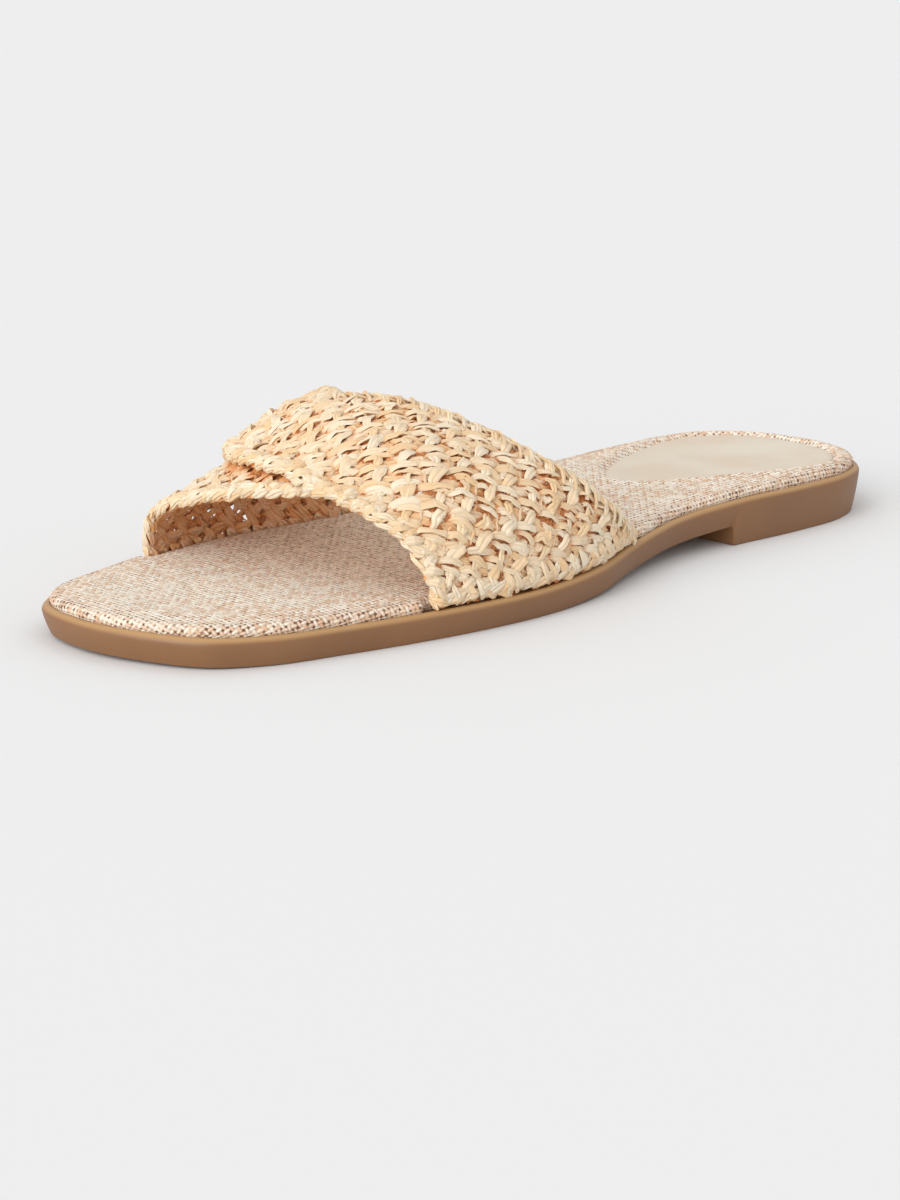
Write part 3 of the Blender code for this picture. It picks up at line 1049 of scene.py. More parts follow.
def gap_share(tree, weave, threads, under, turned_down):
    """How much of the dark gap between threads shows: more where the cloth is strained over its edge, and
    more under the bands as painted shade.
    """
    depth = speckle(tree, vector_calculate(tree, "FLOOR", threads), "2D")
    clump = flat_noise(tree, threads, CLUMP_SCALE, detail=3.0)
    strain_and_painted_shade = times(tree, turned_down, remap(tree, clump, *CLUMP_SPAN, 0.0, EDGE_STRAIN))
    # painted shade: under the bands the dark gaps open wider, as if the cloth lay in shade there
    strain_and_painted_shade = calculate(tree, "MAXIMUM", strain_and_painted_shade, times(tree, under, PAINTED_SHADE_GAPS))
    sunk = minus(tree, weave.height, strain_and_painted_shade)
    return times(tree, remap(tree, sunk, *GAP_HEIGHTS), remap(tree, depth, *GAP_SPAN, *GAP_DARKNESS))


print("gaps open below", GAP_HEIGHTS[0], "of a thread's height of 2")

# %% Finish the footbed
LINEN_GAP = srgb(112, 68, 42)
LINEN_DARK = srgb(126, 82, 54)
DARK_SPAN = (0.1, 0.8)
FIBRE_SCALE = 5.0
FIBRE_RELIEF = 0.5
LINEN_ROUGHNESS = (0.82, 0.95)
LINEN_SHEEN = 0.15
LINEN_SHINE = 0.25
LINEN_BUMP = (1.0, 0.35 * MM)


def make_linen():
    finish, tree, shader = new_finish("slub_linen")
    threads = add_node(tree, "UVMap", {"uv_map": "threads"}).outputs["UV"]
    turned_down = stored_value(tree, "turned_down")
    # under holds the mask of the painted warm light and painted shade under the bands
    under = stored_value(tree, "painted_shade_under_bands")
    weave = plain_weave(tree, threads)
    colour = yarn_colour(tree, weave, threads, under, turned_down)
    gap = gap_share(tree, weave, threads, under, turned_down)
    gap_colour = mix_colours(tree, remap(tree, turned_down, *DARK_SPAN), LINEN_GAP, LINEN_DARK)
    fibre = flat_noise(tree, threads, FIBRE_SCALE, detail=3.0)
    height = plus(tree, weave.height, times(tree, fibre, FIBRE_RELIEF))
    feed(tree, shader.inputs["Base Color"], mix_colours(tree, gap, colour, gap_colour))
    feed(tree, shader.inputs["Roughness"], remap(tree, fibre, *NOISE_SPAN, *LINEN_ROUGHNESS))
    shader.inputs["Sheen Weight"].default_value = LINEN_SHEEN
    shader.inputs["Specular IOR Level"].default_value = LINEN_SHINE
    add_bump(tree, shader, height, *LINEN_BUMP)
    return finish


footbed.data.materials.append(make_linen())
print("footbed finished with", footbed.data.materials[0].name)

# %% [markdown]
# ## The heel pad
# A smooth beige pad is glued into the hollow at the heel. It is a thin sheet, cut to an egg shape, that
# follows the hollow and thins towards its edge. Rings that shrink towards its spine keep its faces even,
# where a flat filled outline could not follow the hollow. Its face is plain.

# %% Lay the heel pad
PAD_THICKNESS = 0.55
PAD_LIFT = 0.16
PAD_EDGE = 0.7
PAD_SPINE = (26.0, 58.0)
PAD_RINGS = 16
PAD_CROWDING = 1.3


def heel_pad_mesh():
    spine = np.column_stack([np.clip(PAD_OUTLINE[:, 0], *PAD_SPINE), np.zeros(len(PAD_OUTLINE))])
    rings = []
    for part in np.linspace(0.0, 1.0, PAD_RINGS) ** PAD_CROWDING:
        flat = PAD_OUTLINE + (spine - PAD_OUTLINE) * part
        inside = np.clip(distance_inside(flat, PAD_OUTLINE), 0.0, None)
        edge = np.sqrt(np.clip(1 - (1 - np.clip(inside / PAD_EDGE, 0, 1)) ** 2, 0, 1))
        bed = cloth_height(flat, np.full(len(flat), EDGE_REACH))
        rings.append(np.column_stack([flat, bed + PAD_LIFT + PAD_THICKNESS * edge]))
    under = np.column_stack([PAD_OUTLINE, rings[0][:, 2] - PAD_LIFT])
    return [under] + rings


pad_rings = heel_pad_mesh()
pad_faces = wall_faces(len(pad_rings), PAD_SAMPLES)
pad_faces += cross_faces((len(pad_rings) - 1) * PAD_SAMPLES, PAD_SAMPLES)
heel_pad = make_piece("heel_pad", np.vstack(pad_rings), pad_faces)

# %% [markdown]
# ## Pad leather
# The pad is a pale beige synthetic leather with a tight, almost invisible grain. It uses the same grain
# group as the rubber, at a finer scale, and is a little duller.

# %% Finish the heel pad
PAD_PALE = srgb(223, 212, 194)
PAD_WARM = srgb(217, 200, 179)
PAD_GRAIN = 2600.0
PAD_DRIFT = 45.0
PAD_ROUGHNESS = (0.50, 0.60)
PAD_BUMP = (0.2, 0.08 * MM)


def make_pad_leather():
    finish, tree, shader = new_finish("pad_leather")
    place = add_node(tree, "TexCoord").outputs["Object"]
    grain = place_group(tree, SKIN_GRAIN, Vector=place, Grain=PAD_GRAIN, Drift=PAD_DRIFT)
    feed(tree, shader.inputs["Base Color"], mix_colours(tree, grain["Drift"], PAD_PALE, PAD_WARM))
    feed(tree, shader.inputs["Roughness"], remap(tree, grain["Drift"], 0.0, 1.0, *PAD_ROUGHNESS))
    add_bump(tree, shader, grain["Height"], *PAD_BUMP)
    return finish


heel_pad.data.materials.append(make_pad_leather())
print("heel pad finished with", heel_pad.data.materials[0].name)

# %% [markdown]
# ## The arch of the bands
# The bands follow the top of a foot that is no longer there. Their surface is a half oval over the sole
# at each station, squarer on the inner side and lower towards the toes. It is worked out once as a chart:
# a grid of points by station and by the share of the way round, from the outer to the inner edge of the
# sole. Any stitch can then be placed on the chart, and read back where it is and which way it faces.

# %% Describe the arch
SECTION_SAMPLES = 200
FOOT_GAP = 0.4
GIRTH_STATION = 152.0

Arch = namedtuple("Arch", "station ridge_z ridge_y outer_square inner_square outer_swell inner_swell")
ARCHES = [
    Arch(105, 38.0, -4.0, 2.4, 2.8, 3.0, 2.0),
    Arch(130, 40.4, -5.0, 2.1, 2.8, 3.0, 2.0),
    Arch(150, 41.8, -6.0, 2.0, 2.7, 2.8, 2.0),
    Arch(165, 42.8, -6.0, 2.0, 2.4, 2.5, 2.0),
    Arch(178, 40.0, -5.0, 2.2, 2.0, 1.5, 2.0),
    Arch(190, 33.6, -4.0, 2.1, 2.0, 0.5, 2.0),
    Arch(200, 29.2, -3.0, 2.0, 2.2, 0.0, 2.0),
    Arch(212, 24.0, -3.0, 2.0, 2.1, 0.0, 2.0),
]


def arch_value(name, station):
    return float(smooth_curve(column(ARCHES, "station"), column(ARCHES, name), station))


def arch_section(station):
    """Half oval over the foot at one station, as points from the outer to the inner sole edge."""
    ridge_z = arch_value("ridge_z", station)
    ridge_y = arch_value("ridge_y", station)
    foot_z = float(rim_height(station)) + FOOT_GAP
    inset = BAND_RIM_SETBACK + BAND_THICKNESS / 2
    outer_foot = np.interp(station, OUTER_SIDE[:, 0], OUTER_SIDE[:, 1]) - inset
    inner_foot = np.interp(station, INNER_SIDE[:, 0], INNER_SIDE[:, 1]) + inset + PRESSED_STEP
    swing = np.linspace(0.0, np.pi / 2, SECTION_SAMPLES)
    halves = []
    for side, foot_y, sign in (("outer", outer_foot, 1.0), ("inner", inner_foot, -1.0)):
        power = 2.0 / arch_value(side + "_square", station)
        swell = sign * arch_value(side + "_swell", station)
        spread = np.clip(np.cos(swing), 0.0, 1.0) ** power
        y = ridge_y + (foot_y - ridge_y) * spread + swell * np.sin(2 * swing)
        z = foot_z + (ridge_z - foot_z) * np.sin(swing) ** power
        halves.append(np.column_stack([y, z]))
    return np.vstack([halves[0], halves[1][-2::-1]])


GIRTH = float(np.linalg.norm(np.diff(arch_section(GIRTH_STATION), axis=0), axis=1).sum())
print("girth over the instep", round(GIRTH), "mm")

# %% Chart the arch
TURN_SAMPLES = 161
CHART_STATIONS = np.arange(102.0, 216.0)
CHART_TURNS = np.linspace(0.0, 1.0, TURN_SAMPLES)
LAST_CELL = 1.001


def arch_row(station):
    """Points at even shares of the way round the arch."""
    section = arch_section(station)
    lengths = run_length(section)
    at = CHART_TURNS * lengths[-1]
    y = np.interp(at, lengths, section[:, 0])
    z = np.interp(at, lengths, section[:, 1])
    return np.column_stack([np.full(len(at), station), y, z])


def unit(vectors):
    return vectors / np.maximum(np.linalg.norm(vectors, axis=-1, keepdims=True), TINY)


CHART = np.array([arch_row(station) for station in CHART_STATIONS])
CHART_FACING = unit(np.cross(np.gradient(CHART, axis=1), np.gradient(CHART, axis=0)))


def on_chart(station, turn):
    """Place and outward direction on the arch, read between the chart's four nearest points."""
    row = np.clip(station - CHART_STATIONS[0], 0.0, len(CHART_STATIONS) - LAST_CELL)
    place = np.clip(turn, 0.0, 1.0) * (TURN_SAMPLES - LAST_CELL)
    i = row.astype(int)
    j = place.astype(int)
    a = (row - i)[..., None]
    b = (place - j)[..., None]
    found = []
    for sheet in (CHART, CHART_FACING):
        near = sheet[i, j] * (1 - b) + sheet[i, j + 1] * b
        far = sheet[i + 1, j] * (1 - b) + sheet[i + 1, j + 1] * b
        found.append(near * (1 - a) + far * a)
    return found[0], unit(found[1])


chart_top = round(float(CHART[..., 2].max()), 1)
print("chart of", CHART.shape[0], "by", CHART.shape[1], "points, up to", chart_top, "mm high")

# %% [markdown]
# ## The two bands
# The upper band runs from the outer rim over the instep to the inner rim. The lower band comes from under
# it and spreads forward on the inner side. Each is a table of its front and rear edge at shares of the
# way round, and the upper one stands off by a band's thickness where it crosses the lower one.

# %% Describe the bands
Edge = namedtuple("Edge", "turn front rear")
UPPER_EDGES = [
    Edge(0.00, 185.5, 112.0),
    Edge(0.06, 187.0, 118.5),
    Edge(0.14, 189.6, 132.0),
    Edge(0.22, 193.6, 143.0),
    Edge(0.32, 196.2, 151.0),
    Edge(0.46, 195.8, 159.0),
    Edge(0.57, 195.4, 165.0),
    Edge(0.66, 193.5, 158.5),
    Edge(0.74, 187.0, 149.0),
    Edge(0.86, 176.0, 141.5),
    Edge(1.00, 164.0, 138.0),
]
LOWER_EDGES = [
    Edge(0.25, 186.0, 160.0),
    Edge(0.36, 194.6, 163.0),
    Edge(0.47, 200.4, 167.0),
    Edge(0.58, 204.4, 170.0),
    Edge(0.66, 206.4, 163.0),
    Edge(0.74, 207.4, 154.0),
    Edge(0.86, 206.8, 146.5),
    Edge(1.00, 205.0, 143.0),
]
BAND_STEP = 3.1
STEP_START = 0.04
STEP_END = 0.22
PRESS_START = 0.80

Band = namedtuple("Band", "name edges stands_off seed")
UPPER_BAND = Band("upper_band", UPPER_EDGES, True, 3)
LOWER_BAND = Band("lower_band", LOWER_EDGES, False, 8)


def band_edge(band, side, turn):
    return smooth_curve(column(band.edges, "turn"), column(band.edges, side), turn)


def band_lift(band, turn):
    """How far a band's middle stands off the arch."""
    if not band.stands_off:
        return np.zeros_like(turn)
    rise = BAND_STEP * smooth_step(turn, STEP_START, STEP_END)
    return rise - (BAND_STEP - PRESSED_STEP) * smooth_step(turn, PRESS_START, 1.0)


for band in (UPPER_BAND, LOWER_BAND):
    widths = np.array(column(band.edges, "front")) - np.array(column(band.edges, "rear"))
    print(band.name, "is", widths.max(), "mm wide at most and", widths.min(), "mm at least")

# %% [markdown]
# ## A ribbon of raffia
# The yarn is a paper ribbon about two millimetres wide, creased along its length. A curve with a bevel
# could draw it, but all ribbons would share one roundness. So each ribbon is a thin closed solid: a
# creased section carried along a path, flat against the band, narrower where it dives under its
# neighbours. Many ribbons are worked out at once as arrays, which keeps thousands of them quick.

# %% Shape a ribbon
Crease = namedtuple("Crease", "across height")
SECTION = [
    Crease(-1.00, 0.00),
    Crease(-0.60, 0.27),
    Crease(-0.12, 0.13),
    Crease(0.28, 0.33),
    Crease(0.72, 0.17),
    Crease(1.00, 0.00),
    Crease(0.46, -0.42),
    Crease(-0.46, -0.42),
]
UNDERSIDE = 2
UV_SPREAD = 400.0
CREASE_RANGE = (0.75, 1.3)
MIRRORED_SHARE = 0.5


def ribbon_solids(path, facing, half_width, roll, tone, draws):
    """Closed ribbons along paths. The arrays run by ribbon and step, and tone only by ribbon."""
    ribbons, steps = path.shape[:2]
    along = unit(np.gradient(path, axis=1))
    level = unit(np.cross(facing, along))
    upright = np.cross(along, level)
    turn = roll[..., None]
    across = level * np.cos(turn) + upright * np.sin(turn)
    face = upright * np.cos(turn) - level * np.sin(turn)
    section = np.array(SECTION)
    mirror = section * (-1, 1)
    mirror = np.roll(mirror[::-1], -UNDERSIDE, axis=0)
    pick = draws.random(ribbons) < MIRRORED_SHARE
    shape = np.where(pick[:, None, None], section[None], mirror[None])
    crease = draws.uniform(*CREASE_RANGE, ribbons)[:, None, None, None]
    sideways = shape[:, None, :, :1] * half_width[:, :, None, None]
    raised = face[:, :, None] * shape[:, None, :, 1:] * crease
    points = path[:, :, None] + across[:, :, None] * sideways + raised
    steps_run = np.cumsum(np.linalg.norm(np.diff(path, axis=1), axis=2), axis=1)
    run = np.concatenate([np.zeros((ribbons, 1)), steps_run], axis=1)
    shift = draws.uniform(0.0, UV_SPREAD, (ribbons, 2))
    length = np.broadcast_to((run + shift[:, :1])[:, :, None], points.shape[:3])
    width = sideways[..., 0] + shift[:, 1][:, None, None]
    return {
        "points": points,
        "uv": np.stack([length, width], axis=-1),
        "tone": np.broadcast_to(tone[:, None, None], points.shape[:3]),
        "height": np.broadcast_to((shape[:, None, :, 1:] * crease)[..., 0], points.shape[:3]),
        "steps": steps,
    }


print("ribbon section has", len(SECTION), "corners")

# %% Close the ribbons with faces
FACE_STEPS = 13


def ribbon_faces(ribbons, steps):
    """Faces of closed ribbons: a strip round the section at each step, and a cap at each end."""
    around = len(SECTION)
    faces = []
    for ribbon in range(ribbons):
        base = ribbon * steps * around
        for step in range(steps - 1):
            low = base + step * around
            for this in range(around):
                after = (this + 1) % around
                faces.append((low + this, low + around + this, low + around + after, low + after))
        faces.append(tuple(range(base, base + around)))
        last = base + (steps - 1) * around
        faces.append(tuple(range(last + around - 1, last - 1, -1)))
    return faces


print("one ribbon of the stitch's face has", len(ribbon_faces(1, FACE_STEPS)), "faces")

# %% [markdown]
# ## One stitch
# Close up, the face of the crochet is a crooked basket. Long ribbons come from under their left
# neighbours and bend down towards the heel, and a broad leaf crosses them the other way. Between them two
# small holes show the shaded inside. Rows alternate because the work is turned at the end of each, so one
# repeat holds two rows with six ribbons, and two thin strands that cross the holes. Four more ribbons
# fill the holes from behind, but only in the upper band: the lower one is worked looser, and light shows
# through it. Each ribbon is a few knots in the repeat's own millimetres: along the row towards the heel,
# up the band, and out from the band's middle.

# %% Chart the stitch
STITCH_ALONG = 9.2
STITCH_UP = 10.4
TENSION_ALONG = 0.82
TENSION_UP = 0.79
FLATNESS = 0.72

Ribbon = namedtuple("Ribbon", "name width knots")
STITCH = [
    Ribbon("body", 2.1, [(-7.3, -0.3, -0.6), (-5.2, -0.8, 0.8), (-2.4, -2.2, 1.3), (0.0, -4.2, 0.9),
                         (1.5, -5.8, -0.6)]),
    Ribbon("arch", 1.9, [(-7.0, -2.1, -0.6), (-5.0, -3.1, 0.7), (-3.0, -4.8, 1.2), (-1.2, -7.0, 0.6),
                         (-0.3, -8.4, -0.6)]),
    Ribbon("turned_body", 2.1, [(-1.7, -5.3, -0.6), (0.4, -5.9, 0.8), (2.7, -7.0, 1.4), (4.6, -9.4, 0.9),
                                (5.7, -11.2, -0.5)]),
    Ribbon("leaf", 2.6, [(3.8, 1.4, -0.4), (2.8, 0.9, 0.6), (1.2, 0.4, 1.4), (-0.6, -0.3, 1.65),
                         (-2.1, -1.2, 1.1), (-3.2, -2.1, -0.1)]),
    Ribbon("small_leaf", 2.2, [(6.2, -4.0, -0.3), (5.4, -4.9, 0.6), (4.5, -6.0, 1.4), (3.6, -7.1, 1.6),
                               (2.8, -8.0, 0.6)]),
    Ribbon("turned_arch", 1.9, [(-2.7, -7.0, -0.5), (-0.4, -7.8, 0.6), (1.6, -8.9, 0.9),
                                (3.6, -11.4, -0.4)]),
    Ribbon("strand", 0.7, [(-0.8, -1.7, 0.3), (0.6, -2.7, 0.5), (2.0, -3.5, 0.5), (3.6, -4.6, 0.3)]),
    Ribbon("turned_strand", 0.7, [(8.6, -6.9, 0.3), (7.4, -8.2, 0.5), (6.2, -9.4, 0.5),
                                  (5.2, -10.8, 0.3)]),
]
FILLING = [
    Ribbon("under_hole", 2.4, [(-1.6, -1.2, 0.0), (0.4, -2.6, 0.3), (2.0, -4.2, 0.3), (3.8, -5.8, 0.0)]),
    Ribbon("across_hole", 2.6, [(4.2, -1.6, -0.3), (2.2, -2.6, -0.1), (0.6, -3.8, -0.1),
                                (-1.0, -4.8, -0.3)]),
    Ribbon("under_turned", 2.4, [(3.8, -6.4, 0.0), (5.8, -7.8, 0.3), (7.2, -9.4, 0.3),
                                 (9.0, -11.0, 0.0)]),
    Ribbon("across_turned", 2.6, [(9.6, -6.8, -0.3), (7.6, -8.0, -0.1), (5.8, -9.4, -0.1),
                                  (4.2, -10.4, -0.3)]),
]
BACK_SHARE = 0.70
BACK_WIDTH = 1.15
INSIDE_STEPS = 9
print("stitch repeat", STITCH_ALONG, "by", STITCH_UP, "mm with", len(STITCH) + len(FILLING), "ribbons")

# %% [markdown]
# ## Laying the rows
# Rows run along the foot and rise a little towards the heel. Stitches keep their size and the edges cut
# across them, as on the shoe, where the strip is narrowed at its edges. A ribbon that would pass an edge
# is bent along it, and one that is mostly outside is left out. The inside of the crochet shows the same
# stitch from behind, so it is the same chart turned over and moved by half a repeat. No two stitches are
# alike by hand: each is shifted, turned, widened, twisted and toned by a small draw from a seeded
# generator. Each point also gets its depth, which the finish turns into painted amber light and painted
# shade: the inside counts as deep, as a painted amber glow, and so does the crevice where the lower band
# comes out from under the upper one, as a painted shade.

# %% Find the repeats on a band
ROW_TILT = 0.15
STITCH_LEAN = 1.1
ROWS_BELOW = 2
ROWS_ABOVE = 4
MOST_COLUMNS = 14


def on_rows(along, up):
    """A place in the rows, as millimetres towards the heel and as a share of the way round the foot."""
    heelwards = along * np.cos(ROW_TILT) - up * np.sin(ROW_TILT)
    return heelwards, (along * np.sin(ROW_TILT) + up * np.cos(ROW_TILT)) / GIRTH


def stitch_cells(band, offset):
    """Station and turn of every repeat that may touch the band, the whole lattice moved by an offset."""
    first = band.edges[0].turn * GIRTH
    last = band.edges[-1].turn * GIRTH
    lowest = np.floor(first / STITCH_UP) - ROWS_BELOW
    rows = np.arange(lowest, np.ceil(last / (STITCH_UP * TENSION_UP)) + ROWS_ABOVE)
    columns = np.arange(-MOST_COLUMNS, MOST_COLUMNS + 1)
    row, number = (grid.ravel() for grid in np.meshgrid(rows, columns, indexing="ij"))
    along = (number * STITCH_ALONG - row * STITCH_LEAN + offset[0]) * TENSION_ALONG
    up = (row * STITCH_UP + offset[1]) * TENSION_UP
    heelwards, turn = on_rows(along, up)
    return GIRTH_STATION - heelwards, turn


print("the upper band is looked for in", len(stitch_cells(UPPER_BAND, (0.0, 0.0))[0]), "repeats")

# %% Bend and vary the paper
EDGE_BEND = 0.12
FOLD = 0.8
WOBBLE_KNOTS = 6
END_WIDTH = 0.24
WIDEST_EARLY = 0.9
LEAF_ROUND = 0.7
MIDDLE_TONE = 0.5

Uneven = namedtuple("Uneven", "shift turn stretch width roll tone wobble twist pinch")
UNEVEN = Uneven(0.26, 0.10, 0.06, 0.10, 0.14, 0.26, 0.16, 0.22, 0.12)


def held_inside(value, low, high):
    """Values beyond a limit are bent along it instead of cut off."""
    value = np.where(value < low, low + (value - low) * EDGE_BEND, value)
    return np.where(value > high, high + (value - high) * EDGE_BEND, value)


def crooked_path(knots, steps):
    """Steps along a path through knots. Folded paper bends at its knots more than between them."""
    keys = np.linspace(0, 1, len(knots))
    at = np.linspace(0, 1, steps)
    straight = np.stack([np.interp(at, keys, knots[:, axis]) for axis in range(3)], axis=-1)
    return smooth_curve(keys, knots, at) * (1 - FOLD) + straight * FOLD


def uneven_along(draws, count, steps, size):
    """A slow random change along each ribbon."""
    knots = draws.normal(0.0, size, (WOBBLE_KNOTS, count))
    return smooth_curve(np.linspace(0, 1, WOBBLE_KNOTS), knots, np.linspace(0, 1, steps)).T


def leaf_width(width, steps, draws):
    """Half widths along ribbons, drawn in towards both ends."""
    share = np.linspace(0.0, 1.0, steps)
    taper = END_WIDTH + (1 - END_WIDTH) * np.sin(np.pi * share ** WIDEST_EARLY) ** LEAF_ROUND
    return width[:, None] / 2 * taper * (1 + uneven_along(draws, len(width), steps, UNEVEN.pinch))


def ribbon_tones(draws, count):
    """A shade for each ribbon, 0 pale and 1 straw."""
    return np.clip(draws.normal(MIDDLE_TONE, UNEVEN.tone, count), 0.0, 1.0)


print("ribbons differ by", UNEVEN.shift, "mm in place and", round(100 * UNEVEN.width), "percent in width")

# %% Loosen and shade the ribbons
SHIFT_SHARES = (1.0, 0.8, 0.4)
INSIDE_PAINTED_GLOW = 0.5
INSIDE_PAINTED_DEPTH = 0.4
CREVICE_PAINTED_SHADE = 1.1
CREVICE_SHADE_REACH = (-1.0, 3.6)


def loose_paths(knots, count, steps, draws):
    """Paths along, up and out through one ribbon's knots, each turned, stretched, shifted and wobbled."""
    path = crooked_path(knots, steps)
    middle = path.mean(axis=0)
    angle = draws.normal(0.0, UNEVEN.turn, count)[:, None]
    scale = 1 + draws.normal(0.0, UNEVEN.stretch, count)[:, None]
    shift = draws.normal(0.0, UNEVEN.shift, (count, 1, 3)) * SHIFT_SHARES
    away = path - middle
    along = middle[0] + (away[:, 0] * np.cos(angle) - away[:, 1] * np.sin(angle)) * scale + shift[..., 0]
    up = middle[1] + (away[:, 0] * np.sin(angle) + away[:, 1] * np.cos(angle)) * scale + shift[..., 1]
    along = along + uneven_along(draws, count, steps, UNEVEN.wobble)
    up = up + uneven_along(draws, count, steps, UNEVEN.wobble)
    return along, up, path[:, 2] + shift[..., 2]


def painted_light_depth(band, place, round_foot, out, turned_over):
    """How deep a point counts for its painted amber light and shade: the inside and the crevice are deep.
    """
    if turned_over:
        # painted glow: the inside counts as deep, so it is painted amber as if light came through the
        # raffia
        return -out * INSIDE_PAINTED_GLOW - INSIDE_PAINTED_DEPTH
    if band.stands_off:
        return out
    # painted shade: just ahead of the upper band's front edge the lower band is counted deeper and
    # painted darker
    ahead = place - band_edge(UPPER_BAND, "front", round_foot)
    return out - CREVICE_PAINTED_SHADE * (1 - smooth_step(ahead, *CREVICE_SHADE_REACH))


print("the crevice reaches", CREVICE_SHADE_REACH[1], "mm ahead of the upper band")

# %% Lay one ribbon in every repeat
EDGE_MARGIN = 1.5
FOOT_MARGIN = 0.004
KEEP_SHARE = 0.50
LEAST_RUN = 2.0


def lay_ribbon(band, ribbon, cells, turned_over, steps, draws):
    """One ribbon of the stitch in every repeat, as closed solids on the band."""
    station, turn = cells
    count = len(station)
    knots = np.array(ribbon.knots) * (TENSION_ALONG, TENSION_UP, FLATNESS)
    if turned_over:
        knots = knots * (-1, 1, -BACK_SHARE)
    along, up, out = loose_paths(knots, count, steps, draws)
    widening = BACK_WIDTH if turned_over else 1.0
    width = ribbon.width * (1 + draws.normal(0.0, UNEVEN.width, count)) * widening
    roll = draws.normal(0.0, UNEVEN.roll, count)[:, None]
    roll = roll + uneven_along(draws, count, steps, UNEVEN.twist)
    tone = ribbon_tones(draws, count)
    half = leaf_width(width, steps, draws)
    heelwards, further_round = on_rows(along, up)
    place = station[:, None] - heelwards
    round_foot = turn[:, None] + further_round
    low = band_edge(band, "rear", round_foot) + EDGE_MARGIN
    high = band_edge(band, "front", round_foot) - EDGE_MARGIN
    start = band.edges[0].turn + FOOT_MARGIN
    end = band.edges[-1].turn - FOOT_MARGIN
    inside = (place > low) & (place < high) & (round_foot > start) & (round_foot < end)
    keep = inside.mean(axis=1) > KEEP_SHARE
    place = held_inside(place, low, high)
    round_foot = held_inside(round_foot, start, end)
    where, facing = on_chart(place, round_foot)
    where = where + facing * (out + band_lift(band, round_foot))[..., None]
    keep &= np.linalg.norm(np.diff(where, axis=1), axis=2).sum(axis=1) > LEAST_RUN
    looks = -facing if turned_over else facing
    solids = ribbon_solids(where[keep], looks[keep], half[keep], roll[keep], tone[keep], draws)
    # the depth, with a ribbon's underside deeper than its top, becomes painted amber and painted shade
    depth = painted_light_depth(band, place, round_foot, out, turned_over)
    solids["depth"] = depth[keep][:, :, None] + solids["height"]
    return solids


print("a ribbon is kept when", round(100 * KEEP_SHARE), "percent of it lies on the band")

# %% Join ribbons into pieces
FOLD_ANGLE = np.radians(21.0)


def join_ribbons(name, groups):
    """One piece from several groups of ribbons, with the values that their finish reads."""
    points = []
    faces = []
    start = 0
    for group in groups:
        ribbons = len(group["points"])
        block = group["points"].reshape(-1, 3)
        for face in ribbon_faces(ribbons, group["steps"]):
            faces.append(tuple(start + corner for corner in face))
        points.append(block)
        start += len(block)
    piece = make_piece(name, np.vstack(points), faces, weld=False, sharp=FOLD_ANGLE)
    write_uv(piece.data, "ribbon", np.vstack([group["uv"].reshape(-1, 2) for group in groups]))
    write_value(piece.data, "tone", np.concatenate([group["tone"].ravel() for group in groups]))
    write_value(piece.data, "depth", np.concatenate([group["depth"].ravel() for group in groups]))
    return piece


print("folds sharper than", round(float(np.degrees(FOLD_ANGLE))), "degrees stay creased")

# %% Stitch both bands
def stitch_band(band):
    """The face and the inside of a band's crochet, as two pieces."""
    draws = np.random.default_rng(band.seed)
    front_cells = stitch_cells(band, (0.0, 0.0))
    back_cells = stitch_cells(band, (STITCH_ALONG / 2, STITCH_UP / 4))
    face = [lay_ribbon(band, ribbon, front_cells, False, FACE_STEPS, draws) for ribbon in STITCH]
    inside = [lay_ribbon(band, ribbon, back_cells, True, INSIDE_STEPS, draws) for ribbon in STITCH]
    if band.stands_off:
        for ribbon in FILLING:
            inside.append(lay_ribbon(band, ribbon, front_cells, False, INSIDE_STEPS, draws))
    print(band.name, "has", sum(len(group["points"]) for group in face), "ribbons on its face")
    return join_ribbons(band.name + "_face", face), join_ribbons(band.name + "_inside", inside)


upper_face, upper_inside = stitch_band(UPPER_BAND)
lower_face, lower_inside = stitch_band(LOWER_BAND)
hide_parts("upper")

# %% [markdown]
# ## Edges of the bands
# A crocheted strip is bound off along its edge. On the shoe no cord shows there. Ribbons run along the
# edge on the face and on the back, and others wrap over it, so that the edge is rounded and a little
# ragged. Along the sole the ribbons are tucked straight down into the seam. Each link of the binding is a
# few knots again: along the edge, outwards past it, and out from the band's middle.

# %% Chart the binding
LINK_PITCH = 3.5
HEM_PITCH = 3.6

Leg = namedtuple("Leg", "width lean knots")
LINK = [
    Leg(1.9, 0.30, [(-3.0, -1.6, 0.0), (-1.8, -1.5, 0.9), (0.2, -1.2, 1.3), (1.8, -0.4, 0.9),
                    (2.8, 0.3, 0.1)]),
    Leg(2.0, 0.55, [(-1.8, -4.0, 0.2), (-1.2, -2.7, 1.1), (-0.3, -1.1, 1.5), (0.6, 0.3, 0.7),
                    (1.0, 0.4, -0.7)]),
    Leg(1.8, 1.45, [(-2.8, -0.3, 0.7), (-1.2, 0.4, 0.6), (0.8, 0.5, -0.3), (2.4, -0.2, -0.8)]),
    Leg(1.9, 2.80, [(-2.6, 0.0, -0.2), (-1.2, -0.6, -1.0), (0.8, -1.1, -1.2), (2.6, -0.7, -0.4)]),
]
HEM = [
    Leg(2.3, 0.10, [(1.6, -5.0, 0.2), (0.9, -3.2, 1.2), (0.1, -1.4, 1.4), (-0.4, 0.2, 0.7),
                    (-0.6, 0.8, -0.3)]),
    Leg(2.1, 0.10, [(-3.6, -2.4, 0.1), (-1.8, -1.9, 1.1), (0.6, -0.9, 1.2), (2.2, 0.3, 0.4),
                    (2.6, 0.7, -0.4)]),
    Leg(2.2, 3.04, [(1.6, -1.6, -0.7), (0.7, -0.8, -1.1), (-0.5, 0.1, -0.8), (-1.2, 0.6, 0.0)]),
]
print("binding has", len(LINK), "ribbons to a link, the hem along the sole", len(HEM))

